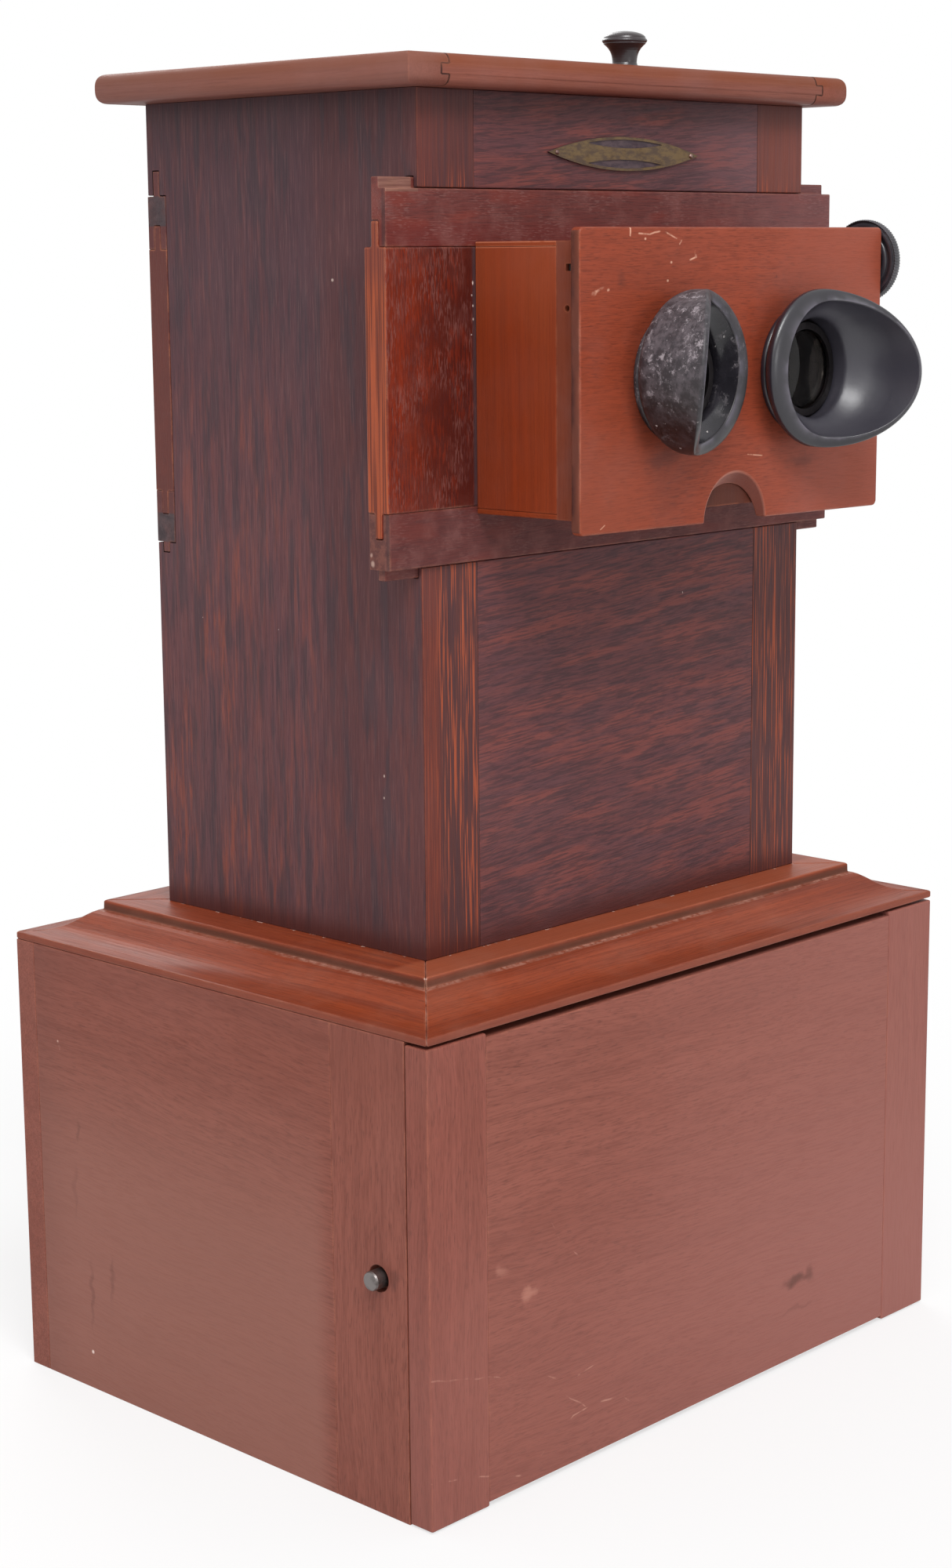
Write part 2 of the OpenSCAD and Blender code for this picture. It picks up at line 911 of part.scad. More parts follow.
module ground_glass_blank(slack) {
    t = tongue_t - 1 + 2 * slack;
    block(-rear_window - 4 - slack, rear_window + 4 + slack, rear_mid - t / 2, rear_mid + t / 2,
        panel_z0 + rail_h - 5, panel_z1 - rail_h + 5);
}

module ground_glass() {
    color(glass)
        ground_glass_blank(0);
}

// Lens box: fixed walls, a collar at the mouth that carries the shaft,
// and runners for the sliding tube

module lens_box_sides() {
    color(orange_wood)
        both_sides()
            block(window_half, box_w / 2, box_front, panel_front, box_z0 + lap_t, box_z1 - lap_t);
}

module lens_box_board() {
    block(-box_w / 2, box_w / 2, box_front, panel_front, box_z1 - lap_t, box_z1);
    block(-window_half, window_half, box_front, panel_front, box_z1 - box_wall, box_z1 - lap_t);
}

module lens_box_boards() {
    color(orange_wood) {
        lens_box_board();
        translate([0, 0, 2 * box_z])
            mirror([0, 0, 1])
                lens_box_board();
    }
}

pin_hole_drop = box_h * 0.154;

module lens_box_collar() {
    w = box_w / 2;
    color(orange_wood)
        difference() {
            along_y(collar_front, box_front)
                difference() {
                    translate([-w, box_z0])
                        square([2 * w, box_h]);
                    // The bar below the opening reaches up to the tube
                    translate([-window_half, tube_low - slide_gap])
                        square([2 * window_half, box_z1 - box_wall - tube_low + slide_gap]);
                }
            // Bearings for the shaft, the left one closed but for a square hole
            rod_x(-w + 1.4, w + 1, shaft_y, shaft_z, shaft_r + 0.05);
            block(-w - 1, -w + 2, shaft_y - 1.1, shaft_y + 1.1, shaft_z - 1.9, shaft_z + 0.3);
            rod_x(-window_half, window_half, shaft_y, shaft_z, shaft_r + 0.4);
            for (s = [-1, 1])
                rod_x(s * rack_x - rack_w / 2 - 0.5, s * rack_x + rack_w / 2 + 0.5, shaft_y, shaft_z,
                    pitch_r + tooth_add + 0.5);
            // Pin hole below the bearing
            rod_x(-w - 1, -w + 3, shaft_y + 0.6, shaft_z - pin_hole_drop, 1);
        }
}

runner_x = box_w * 0.23;
runner_w = box_w * 0.19;

module lens_box_runners() {
    color(orange_wood)
        for (x = [-runner_x, runner_x])
            for (s = [-1, 1])
                block(x - runner_w / 2, x + runner_w / 2, box_front, panel_front,
                    box_z + s * (box_h / 2 - box_wall), box_z + s * (tube_top - box_z + slide_gap));
}

// Lens board with the nose notch and its sliding tube

module lens_board_outline() {
    r = lens_board_r;
    w = lens_board_w / 2;
    h = lens_board_h / 2;
    square([2 * w - 2 * r, 2 * h], center = true);
    square([2 * w, 2 * h - 2 * r], center = true);
    for (x = [-w + r, w - r])
        for (z = [-h + r, h - r])
            translate([x, z])
                circle(r = r, $fn = 32);
}

module lens_board() {
    color(orange_wood)
        difference() {
            along_y(board_front, board_back)
                translate([0, board_z])
                    lens_board_outline();
            for (s = [-1, 1])
                translate([s * eye_x, board_front - 1, axis_z])
                    rotate([-90, 0, 0])
                        cylinder(r = cell_r + 0.1, h = lens_board_t + 2);
            // The notch narrows and drops towards the back
            translate([0, board_front, board_z - lens_board_h / 2 + 0.1])
                rotate([-110, 0, 0])
                    translate([0, 0, -6])
                        cylinder(r1 = nose_r + 1.5, r2 = nose_r - 2.6, h = 16, $fn = 96);
        }
}

module at_eye(side) {
    translate([side * eye_x, board_front, axis_z])
        rotate([90, 0, 0])
            children();
}

// Brass cells, drawn with the board's front face at height 0
module lens_cells() {
    b = lens_board_t;
    color(brass)
        for (side = [-1, 1])
            at_eye(side)
                rotate_extrude()
                    polygon([
                        [seat_r - 1.2, 3.2], [seat_r - 1.2, 2], [seat_r, 2], [seat_r, -b - 2],
                        [cell_r + 2.6, -b - 2], [cell_r + 2.6, -b], [cell_r, -b],
                        [cell_r, 2.6], [cell_r - 0.6, 3.2]
                    ]);
}

// Biconvex glass: the overlap of two balls, cut round
module lenses() {
    edge = 2.2;
    sag = (lens_t - edge) / 2;
    ball = (lens_r * lens_r + sag * sag) / (2 * sag);
    color(glass)
        for (side = [-1, 1])
            at_eye(side)
                translate([0, 0, 1.5 - edge / 2])
                    intersection() {
                        cylinder(r = lens_r, h = lens_t + 2, center = true);
                        translate([0, 0, lens_t / 2 - ball])
                            sphere(r = ball, $fn = 96);
                        translate([0, 0, ball - lens_t / 2])
                            sphere(r = ball, $fn = 96);
                    }
}

// Eyecups: a ring, a groove and a bell that swells at once to its full width.
// Its rim is low around the nose and rises to a tip at the temple.

cup_steps = 10;

// Quarter of an ellipse from radius r0 out to r1, over a depth
function quarter(r0, r1, start, depth) = [
    for (i = [0:cup_steps])
        let(a = 90 * i / cup_steps)
            [r0 + (r1 - r0) * sin(a), start + depth * (1 - cos(a))]
];

function backwards(list) = [for (i = [len(list) - 1:-1:0]) list[i]];

// Depth of the rim at a share c of the radius, from -1 at the nose to 1 at the temple
function rim_depth(c) =
    let(low = sqrt(1 + pow(cup_rim_ease, 2)) - 1)
        cup_nose_depth + (cup_temple_depth - cup_nose_depth)
            * (sqrt(c * c + pow(cup_rim_ease, 2)) + c - low) / 2;

module cup_section() {
    top = cup_temple_depth + 6;
    polygon(concat(
        [[cup_bore_r, 0], [cup_ring_r, 0], [cup_ring_r, 2], [cup_ring_r - 0.4, 2.4], [cup_groove_r, 2.4]],
        quarter(cup_groove_r, cup_r, 3.2, 6.3),
        [[cup_r, top], [cup_r - cup_wall, top]],
        backwards(quarter(cup_bore_r, cup_r - cup_wall, 4.8, 10))
    ));
}

// The right cup: the temple side lies towards +X, the depth runs along +Z
module cup() {
    reach = 1.15;
    intersection() {
        rotate_extrude($fn = 96)
            cup_section();
        rotate([90, 0, 0])
            linear_extrude(height = 80, center = true)
                polygon(concat(
                    [[reach * cup_r, -1]],
                    [for (i = [12:-1:-12]) [reach * cup_r * i / 12, rim_depth(reach * i / 12)]],
                    [[-reach * cup_r, -1]]
                ));
    }
}

module eyecup_right() {
    color(ebony)
        at_eye(1)
            rotate([0, 0, -cup_turn])
                cup();
}

module eyecup_left() {
    color(ebony)
        at_eye(-1)
            rotate([0, 0, -cup_turn])
                mirror([1, 0, 0])
                    cup();
}

module focus_tube_sides() {
    color(orange_wood)
        both_sides()
            block(tube_half - tube_wall, tube_half, board_back, tube_back, tube_low, tube_top);
}

module focus_tube_boards() {
    w = tube_half - tube_wall;
    color(orange_wood) {
        block(-w, w, board_back, tube_back, tube_top - tube_wall, tube_top);
        block(-w, w, board_back, tube_back, tube_low, tube_low + tube_wall);
    }
}

module tube_septum() {
    color(black_paint)
        block(-1, 1, board_back + 2, tube_back, tube_low + tube_wall, tube_top - tube_wall);
}

// Rack and pinion

rack_pitch = PI * gear_module;
rack_teeth = ceil((focus_travel + 8) / rack_pitch);

// One rack tooth, its middle at y = 0 on the pitch line
module rack_tooth() {
    half = rack_pitch / 4 - backlash / 2;
    lean = tan(pressure);
    polygon([
        [-half - tooth_ded * lean, -tooth_ded - 0.3], [half + tooth_ded * lean, -tooth_ded - 0.3],
        [half + tooth_ded * lean, -tooth_ded], [half - tooth_add * lean, tooth_add],
        [-half + tooth_add * lean, tooth_add], [-half - tooth_ded * lean, -tooth_ded]
    ]);
}

// At rest a gap between two teeth lies under the shaft
module focus_racks() {
    first = -2;
    y0 = board_back;
    y1 = shaft_y + (first + rack_teeth) * rack_pitch;
    color(brass)
        for (s = [-1, 1])
            along_x(s * rack_x - rack_w / 2, s * rack_x + rack_w / 2)
                union() {
                    for (i = [first:first + rack_teeth - 1])
                        translate([shaft_y + (i + 0.5) * rack_pitch, pitch_z])
                            rack_tooth();
                    translate([y0, tube_top])
                        square([y1 - y0, rack_root - tube_top]);
                }
}

// Involute of a circle: the point at the given roll angle
function involute(rb, a) = [rb * (cos(a) + a * PI / 180 * sin(a)), rb * (sin(a) - a * PI / 180 * cos(a))];
function turn(p, a) = [p[0] * cos(a) - p[1] * sin(a), p[0] * sin(a) + p[1] * cos(a)];
function roll(rb, r) = sqrt(max(0, (r / rb) * (r / rb) - 1)) * 180 / PI;
function inv(a) = tan(a) * 180 / PI - a;

module pinion_outline() {
    rb = pitch_r * cos(pressure);
    ro = pitch_r + tooth_add;
    rf = pitch_r - tooth_ded;
    half = 90 / pinion_teeth - backlash / 2 / pitch_r * 180 / PI + inv(pressure);
    flank = [for (i = [0:5]) involute(rb, roll(rb, rb + (ro - rb) * i / 5))];
    right = [for (p = flank) turn(p, -half)];
    left = [for (i = [5:-1:0]) [right[i][0], -right[i][1]]];
    tooth = concat([turn([rf, 0], -half)], right, left, [turn([rf, 0], half)]);
    polygon([for (k = [0:pinion_teeth - 1]) for (p = tooth) turn(p, 360 * k / pinion_teeth)]);
}

// Shaft with a pinion over each rack, a tooth of each pointing straight down
module focus_shaft() {
    color(steel) {
        rod_x(-box_w / 2 + 1.6, knob_x1 - 2, shaft_y, shaft_z, shaft_r);
        for (s = [-1, 1])
            along_x(s * rack_x - rack_w / 2, s * rack_x + rack_w / 2)
                translate([shaft_y, shaft_z])
                    rotate(-90)
                        pinion_outline();
    }
}

knob_x0 = box_w / 2 + 0.3;
knob_rim0 = lens_board_w / 2 + 0.8;
knob_x1 = knob_rim0 + 6.6;

// Focusing knob: a neck, a dished inner face, a knurled rim, a domed cap
module focus_knob() {
    r = knob_r;
    a = knob_rim0 - knob_x0;
    w = knob_x1 - knob_x0;
    color(ebony)
        translate([knob_x0, shaft_y, shaft_z])
            rotate([0, 90, 0])
                difference() {
                    union() {
                        rotate_extrude()
                            polygon(concat(
                                [[0, 0], [3.9, 0], [3.9, a + 1.4], [r - 3.6, a + 1.2],
                                    [r - 3.4, a + 0.6], [r - 1.6, a + 0.6], [r - 1.4, a],
                                    [r - 0.7, a], [r - 0.45, a + 0.4]],
                                [[r - 0.45, a + 4.2], [r - 0.8, a + 4.6], [r - 2.2, a + 4.6],
                                    [r - 2.4, a + 5.2], [r - 3.8, a + 5.4]],
                                [for (i = [0:6]) [(r - 4.4) * cos(15 * i), w - 1.1 + 1.1 * sin(15 * i)]]
                            ));
                        translate([0, 0, a + 0.5])
                            linear_extrude(height = 3.6)
                                knurl(r, 72, 0.35);
                    }
                    translate([0, 0, -1])
                        cylinder(r = shaft_r, h = w - 1);
                }
}

module knurl(r, n, depth) {
    polygon([for (i = [0:2 * n - 1]) turn([r - (i % 2) * depth, 0], 180 * i / n)]);
}

// Slide carrier: a frame with a sunk seat for the slide behind two windows

module slide_carrier() {
    y0 = slide_y - carrier_t / 2;
    y1 = slide_y + carrier_t / 2;
    color(black_paint)
        difference() {
            block(-carrier_half, carrier_half, y0, y1, carrier_z0, carrier_z1);
            block(-slide_w / 2 - 0.2, slide_w / 2 + 0.2, y0 + 2, y1 + 1,
                axis_z - slide_h / 2, axis_z + slide_h / 2 + 0.2);
            for (s = [-1, 1])
                block(s * 2.5, s * (slide_w / 2 - 3), y0 - 1, y0 + 3,
                    axis_z - slide_h / 2 + 3, axis_z + slide_h / 2 - 3);
        }
}

module glass_slide() {
    y = slide_y - carrier_t / 2 + 2;
    color(glass)
        block(-slide_w / 2, slide_w / 2, y, y + slide_t, axis_z - slide_h / 2, axis_z + slide_h / 2);
}

// Flat arm through the wall with a turned knob on its end
module carrier_handle() {
    arm_end = half_w + 1.5;
    color(ebony)
        translate([arm_end, slide_y, axis_z])
            rotate([0, 90, 0])
                rotate_extrude()
                    polygon(concat(
                        [[0, 0], [4.6, 0], [4.6, 0.8]],
                        [for (i = [0:6]) [3.6 + 3.2 * pow(i / 6, 2), 1.6 + 4 * i / 6]],
                        [for (i = [0:6]) [7 * cos(90 * i / 6), 6.8 + 3 * sin(90 * i / 6)]]
                    ));
    color(brass)
        block(carrier_half, arm_end, slide_y - arm_t / 2, slide_y + arm_t / 2,
            axis_z - arm_h / 2, axis_z + arm_h / 2);
}

// Door

door_half = cab_half - door_stile_w;
door_tongue = 5;

module door_panel() {
    y0 = -base_d / 2;
    t = board_t / 3;
    color(mahogany) {
        block(-door_half, door_half, y0 + 0.15, door_back, door_low + door_panel_short,
            door_high - door_panel_short);
        block(-door_half - door_tongue, door_half + door_tongue, y0 + t, door_back - t,
            door_low + 6, door_high - 6);
    }
}

module door_stiles() {
    y0 = -base_d / 2;
    t = board_t / 3;
    color(mahogany)
        difference() {
            both_sides()
                block(door_half, cab_half, y0, door_back, door_low, door_high);
            block(-door_half - door_tongue - 0.2, door_half + door_tongue + 0.2, y0 + t,
                door_back - t, door_low + 5.8, door_high - 5.8);
            for (z = door_hinge_spots())
                block(cab_half - door_leaf_w, cab_half + 1, door_back - leaf_t, door_back + 1,
                    z - hinge_len / 2, z + hinge_len / 2);
        }
}

// Catch: the tongue on the door passes through a window in the plate on the
// button's rod, and the nick on the tongue sits just behind the plate

tongue_x = -cab_in + 9.4;

module door_catch_tongue() {
    color(brass)
        difference() {
            union() {
                block(tongue_x - 4, tongue_x + 5, door_back, door_back + 1.2,
                    button_z - 8, button_z + 8);
                block(tongue_x - 1, tongue_x, door_back, button_y + 6.2,
                    button_z - 4, button_z + 4);
                along_z_prism(button_z - 4, button_z + 4)
                    polygon([
                        [tongue_x - eps, button_y + 1.6], [tongue_x + 0.5, button_y + 1.6],
                        [tongue_x + 0.5, button_y + 2.4], [tongue_x - eps, button_y + 6.2]
                    ]);
            }
            for (s = [-1, 1])
                translate([tongue_x + 2.6, door_back - 1, button_z + s * 5.6])
                    rotate([-90, 0, 0])
                        cylinder(r = 0.9, h = 4);
        }
}

module along_z_prism(z0, z1) {
    translate([0, 0, z0])
        linear_extrude(height = z1 - z0)
            children();
}

rod_end = -cab_in + 4;

module door_button() {
    r = button_r;
    color(steel)
        difference() {
            translate([-cab_half - button_out, button_y, button_z])
                rotate([0, 90, 0])
                    rotate_extrude()
                        polygon([
                            [0, 0], [r - 0.9, 0], [r - 0.3, 0.25], [r, 0.9],
                            [r, rod_end + cab_half + button_out], [0, rod_end + cab_half + button_out]
                        ]);
            block(rod_end - 3, rod_end + 1, button_y - 1, button_y + 1,
                button_z - 10, button_z + 10);
        }
}

module catch_plate() {
    x0 = rod_end - 3;
    x1 = tongue_x + 5;
    color(brass)
        difference() {
            block(x0, x1, button_y - 1, button_y + 1, button_z - 11, button_z + 11);
            block(rod_end + 0.5, tongue_x + 1.1, button_y - 2, button_y + 2,
                button_z - 5.5, button_z + 5.5);
        }
}

cabinet_floor();
cabinet_side_panels();
cabinet_side_stiles();
cabinet_back();
cabinet_top();
cabinet_shelf();
moulding_front();
moulding_sides();
moulding_back();
slide_boxes();
stored_slides();
door_hinge_fixed_leaves();
tower_left_side();
tower_right_side();
upper_front_board();
upper_front_stiles();
lower_front_board();
lower_front_stiles();
upper_back_board();
lower_back_board();
chamber_floor();
tower_septum();
carrier_guides();
name_plate();
lid_hinge_fixed_leaves();
lid_board();
lid_cleats();
lid_knob();
lid_hinge_moving_leaves();
lens_panel_top_rail();
lens_panel_bottom_rail();
lens_panel_boards();
lens_box_sides();
lens_box_boards();
lens_box_collar();
lens_box_runners();
lens_board();
lens_cells();
lenses();
eyecup_left();
eyecup_right();
focus_tube_sides();
focus_tube_boards();
focus_racks();
tube_septum();
focus_knob();
focus_shaft();
rear_panel_rails();
rear_panel_stiles();
ground_glass();
slide_carrier();
glass_slide();
carrier_handle();
door_panel();
door_stiles();
door_hinge_moving_leaves();
door_catch_tongue();
door_button();
catch_plate();
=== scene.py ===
# %% [markdown]
# # A tabletop stereoscope in old mahogany
#
# The wooden parts, gears and hinges come from the packed solid model, which
# this script loads as a fixed frame and never moves. The lesson dresses them:
# it softens their arrises, gives every board its own grain, puts wear, bloom
# and dust where hands and years leave them, and shapes a few pieces more
# finely: eyecups, knob, lens board, lid edge, pins and screws. All sizes are
# in metres, the front faces -Y and Z is up.

# %% Load the frame
import math
from functools import cached_property

import bmesh
import bpy
from mathutils import Matrix, Vector


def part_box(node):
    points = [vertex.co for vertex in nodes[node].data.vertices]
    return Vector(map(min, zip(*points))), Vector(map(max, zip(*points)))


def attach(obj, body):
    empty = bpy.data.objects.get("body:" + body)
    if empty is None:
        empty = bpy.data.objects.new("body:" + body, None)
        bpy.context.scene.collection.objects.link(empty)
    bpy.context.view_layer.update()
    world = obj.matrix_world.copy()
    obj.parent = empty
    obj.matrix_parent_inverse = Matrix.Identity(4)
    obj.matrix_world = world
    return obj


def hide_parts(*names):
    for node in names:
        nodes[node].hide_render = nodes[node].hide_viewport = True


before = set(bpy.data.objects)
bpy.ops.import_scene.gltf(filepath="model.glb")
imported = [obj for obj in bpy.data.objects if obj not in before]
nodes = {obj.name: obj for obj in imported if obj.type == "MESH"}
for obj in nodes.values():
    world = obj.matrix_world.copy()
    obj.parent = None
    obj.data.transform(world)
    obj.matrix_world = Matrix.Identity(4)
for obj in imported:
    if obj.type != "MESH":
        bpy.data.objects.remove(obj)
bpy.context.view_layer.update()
MM = 0.001

# %% [markdown]
# ## Camera
#
# The viewpoint was worked out from the edges of the cabinet and the tower: it
# stands in front and to the left, a little above the lens board, and looks
# down by eleven degrees. A camera matrix can be written straight from its
# right, up and backward directions, which leaves no guessing with angles.

# %% Camera
YAW, PITCH, ROLL = math.radians(46.19), math.radians(10.9), math.radians(-0.5)
FOCAL_PIXELS, LONG_SIDE_PIXELS, SENSOR_MM = 3510.2, 2000, 36
CAMERA_AT = (-0.7230, -0.6895, 0.4066)

view_dir = Vector((math.cos(PITCH) * math.sin(YAW), math.cos(PITCH) * math.cos(YAW), -math.sin(PITCH)))
level_right = view_dir.cross(Vector((0, 0, 1))).normalized()
level_up = level_right.cross(view_dir)
cam_right = math.cos(ROLL) * level_right + math.sin(ROLL) * level_up
cam_up = -math.sin(ROLL) * level_right + math.cos(ROLL) * level_up

camera = bpy.data.objects.new("camera", bpy.data.cameras.new("camera"))
bpy.context.scene.collection.objects.link(camera)
camera.matrix_world = Matrix.Translation(CAMERA_AT) @ Matrix(
    (cam_right, cam_up, -view_dir)).transposed().to_4x4()
camera.data.sensor_width = SENSOR_MM
camera.data.lens = FOCAL_PIXELS / LONG_SIDE_PIXELS * SENSOR_MM
camera.data.clip_start = 0.05
bpy.context.scene.camera = camera
print("lens %.1f mm" % camera.data.lens)

# %% [markdown]
# ## A short way to write shader trees
#
# Shader trees read best when they look like the sums they stand for. This
# small class adds a node, sets its inputs from numbers or other sockets, and
# hands back its output, so that a material becomes a few lines of plain steps.
# Colours are written as they are read off a screen, from 0 to 255.

# %% Shader tree helper
class Tree:
    """Adds nodes to one shader tree and wires them as it goes."""

    def __init__(self, tree):
        self.tree = tree

    def node(self, kind, inputs=None, **settings):
        made = self.tree.nodes.new(kind)
        for key, value in settings.items():
            setattr(made, key, value)
        for key, value in (inputs or {}).items():
            self.feed(made.inputs[key], value)
        return made

    def feed(self, socket, value):
        if isinstance(value, bpy.types.NodeSocket):
            self.tree.links.new(value, socket)
        else:
            socket.default_value = value

    def math(self, operation, a, b=0.0, clamp=False):
        return self.node("ShaderNodeMath", {0: a, 1: b}, operation=operation, use_clamp=clamp).outputs[0]

    def either(self, a, b):
        return self.math("MAXIMUM", a, b)

    def times(self, *values):
        total = values[0]
        for value in values[1:]:
            total = self.math("MULTIPLY", total, value)
        return total

    def vector(self, operation, a, b=(0, 0, 0)):
        made = self.node("ShaderNodeVectorMath", {0: a, 1: b}, operation=operation)
        return made.outputs["Value" if operation in ("DOT_PRODUCT", "LENGTH", "DISTANCE") else "Vector"]

    def scaled(self, vector, factor):
        return self.node("ShaderNodeVectorMath", {0: vector, "Scale": factor}, operation="SCALE").outputs[0]

    def ramp(self, value, low, high, out_low=0.0, out_high=1.0):
        return self.node("ShaderNodeMapRange", {
            "Value": value, "From Min": low, "From Max": high, "To Min": out_low, "To Max": out_high,
        }, interpolation_type="SMOOTHSTEP").outputs[0]

    def noise(self, vector, scale=1.0, detail=2.0, roughness=0.5, output="Fac"):
        return self.node("ShaderNodeTexNoise", {
            "Vector": vector, "Scale": scale, "Detail": detail, "Roughness": roughness}).outputs[output]

    def mix(self, fac, *colours):
        """Two colours, each another colour of the tree or a screen colour, mixed by the factor."""
        a, b = (rgb(*colour) if isinstance(colour, tuple) else colour for colour in colours)
        return self.node("ShaderNodeMix", {0: fac, 6: a, 7: b}, data_type="RGBA").outputs[2]

    def group(self, group, inputs):
        made = self.node("ShaderNodeGroup", node_tree=group)
        for key, value in inputs.items():
            self.feed(made.inputs[key], value)
        return made.outputs

    def split(self, vector):
        return self.node("ShaderNodeSeparateXYZ", {0: vector}).outputs

    @cached_property
    def at(self):
        """The place on the piece, in metres."""
        return self.node("ShaderNodeTexCoord").outputs["Object"]

    @cached_property
    def parts(self):
        return self.split(self.at)

    def relief(self, height, strength):
        return self.node("ShaderNodeBump", {"Strength": strength, "Distance": 0.0003, "Height": height}).outputs[0]

    def surface(self, inputs):
        """A principled shader with these inputs, wired to the output of the material."""
        shader = self.node("ShaderNodeBsdfPrincipled", inputs)
        self.node("ShaderNodeOutputMaterial", {"Surface": shader.outputs[0]})


def new_group(name, inputs, outputs):
    """An empty shader node group with named sockets: (tree helper, its inputs, its output node)."""
    made = bpy.data.node_groups.new(name, "ShaderNodeTree")
    kinds = {float: "NodeSocketFloat", tuple: "NodeSocketVector"}
    for label, value in inputs.items():
        made.interface.new_socket(label, in_out="INPUT", socket_type=kinds[type(value)]).default_value = value
    for label, kind in outputs.items():
        made.interface.new_socket(label, in_out="OUTPUT", socket_type=kinds[kind])
    tree = Tree(made)
    print("group:", name, "gives", ", ".join(outputs))
    return tree, tree.node("NodeGroupInput").outputs, tree.node("NodeGroupOutput").inputs


def rgb(red, green, blue):
    """A colour as it is read off a screen, 0 to 255, in the linear values that shaders use."""
    def linear(value):
        value /= 255
        return value / 12.92 if value <= 0.04045 else ((value + 0.055) / 1.055) ** 2.4
    return (linear(red), linear(green), linear(blue), 1.0)


def new_material(name, helper=Tree):
    """An empty material: (the material, its tree helper)."""
    made = bpy.data.materials.new(name)
    made.use_nodes = True
    made.node_tree.nodes.clear()
    return made, helper(made.node_tree)


print("a tree can", ", ".join(name for name in vars(Tree) if name[0] != "_"))

# %% [markdown]
# ## Floor, background and light
#
# The object stands on a white floor without an edge. The floor shades itself
# near the object, so a soft shadow stays, and fades to plain white further
# out. The main soft lamp hangs high over the camera's left shoulder, where the
# bright spot in the right eyecup shows that it was; the room itself gives the
# rest, evenly from all sides.

# %% Room light
world = bpy.data.worlds.new("studio")
bpy.context.scene.world = world
world.use_nodes = True
world.node_tree.nodes.clear()
room = Tree(world.node_tree)
ROOM_LIGHT = 0.62


def seen_directly(tree):
    """1 for what the camera sees, straight or in gloss or through glass."""
    path = tree.node("ShaderNodeLightPath").outputs
    return tree.either(tree.either(path["Is Camera Ray"], path["Is Glossy Ray"]), path["Is Transmission Ray"])


strength = room.math("ADD", room.math("MULTIPLY", seen_directly(room), 1.0 - ROOM_LIGHT), ROOM_LIGHT)
background = room.node("ShaderNodeBackground", {"Color": (1, 1, 1, 1), "Strength": strength})
room.node("ShaderNodeOutputWorld", {"Surface": background.outputs[0]})

bpy.context.scene.view_settings.view_transform = "Standard"


def soft_lamp(name, place, aim, size, watts):
    lamp = bpy.data.lights.new(name, "AREA")
    lamp.shape = "RECTANGLE"
    lamp.size, lamp.size_y = size
    lamp.energy = watts
    made = bpy.data.objects.new(name, lamp)
    bpy.context.scene.collection.objects.link(made)
    made.location = place
    made.rotation_euler = (Vector(aim) - Vector(place)).to_track_quat("-Z", "Y").to_euler()


soft_lamp("lamp_above_left", (-0.85, -1.25, 1.95), (0, 0, 0.25), (1.0, 0.8), 34)
soft_lamp("lamp_front", (-0.15, -2.3, 0.65), (0, 0, 0.25), (0.5, 0.4), 4)
soft_lamp("lamp_left", (-1.75, -0.75, 1.25), (0, 0, 0.25), (1.1, 1.2), 4)
soft_lamp("lamp_back", (0.9, 1.7, 1.5), (0, 0, 0.3), (1.2, 0.8), 13)

# %% Floor
FLOOR_HALF = 6.0
floor_mesh = bpy.data.meshes.new("floor")
floor_mesh.from_pydata([(x, y, 0) for x, y in ((-1, -1), (1, -1), (1, 1), (-1, 1))], [], [(0, 1, 2, 3)])
floor_mesh.transform(Matrix.Scale(FLOOR_HALF, 4))
floor = bpy.data.objects.new("floor", floor_mesh)
bpy.context.scene.collection.objects.link(floor)

paper, t = new_material("white paper floor")
far = t.ramp(t.vector("LENGTH", t.at), 0.2, 0.62, 0.66, 1.0)
matt = t.node("ShaderNodeBsdfDiffuse", {"Color": (0.86, 0.86, 0.86, 1)}).outputs[0]
glow = t.node("ShaderNodeEmission", {"Color": (1, 1, 1, 1), "Strength": 1.0}).outputs[0]
both = t.node("ShaderNodeMixShader", {0: t.math("MULTIPLY", seen_directly(t), far), 1: matt, 2: glow}).outputs[0]
t.node("ShaderNodeOutputMaterial", {"Surface": both})
floor_mesh.materials.append(paper)
print("floor %.0f m wide" % (2 * FLOOR_HALF))

# %% [markdown]
# ## Grain
#
# Mahogany shows several things at once: slow bands of lighter and darker
# wood, narrower streaks, fine fibres along the grain, and short open pores.
# Each is a noise texture that is stretched along the grain, so the group gets
# a place whose first axis runs along the board. A slow noise bends the place
# before anything is drawn, which gives the wavy figure of the front boards.

# %% Grain group
def stretched(tree, place, length, width):
    """The place with cells of the given length along the board and width across it."""
    along = tree.math("DIVIDE", 1.0, length)
    across = tree.math("DIVIDE", 1.0, width)
    scale = tree.node("ShaderNodeCombineXYZ", {0: along, 1: across, 2: across}).outputs[0]
    return tree.vector("MULTIPLY", place, scale)


g, put, out = new_group("Wood grain", {
    "Place": (0.0, 0.0, 0.0), "Streak length": 0.12, "Streak width": 0.004,
    "Fibre length": 0.03, "Fibre width": 0.0005, "Wave": 0.004, "Seed": 0.0,
}, {"Bands": float, "Streaks": float, "Fibres": float, "Pores": float, "Clouds": float})
shift = g.node("ShaderNodeCombineXYZ", {0: put["Seed"], 1: put["Seed"], 2: put["Seed"]}).outputs[0]
moved = g.vector("ADD", put["Place"], shift)
bend = g.noise(g.vector("MULTIPLY", moved, (11, 30, 30)), detail=1.0, output="Color")
bend = g.vector("MULTIPLY", g.vector("SUBTRACT", bend, (0.5, 0.5, 0.5)), (0, 1, 1))
moved = g.vector("ADD", moved, g.scaled(bend, put["Wave"]))
bands = g.noise(g.vector("MULTIPLY", moved, (3, 75, 75)), detail=2.0)
streaks = g.noise(stretched(g, moved, put["Streak length"], put["Streak width"]), detail=3.0, roughness=0.6)
fibres = g.noise(stretched(g, moved, put["Fibre length"], put["Fibre width"]), detail=2.0, roughness=0.6)
pores = g.noise(g.vector("MULTIPLY", moved, (230, 2600, 2600)), detail=1.0)
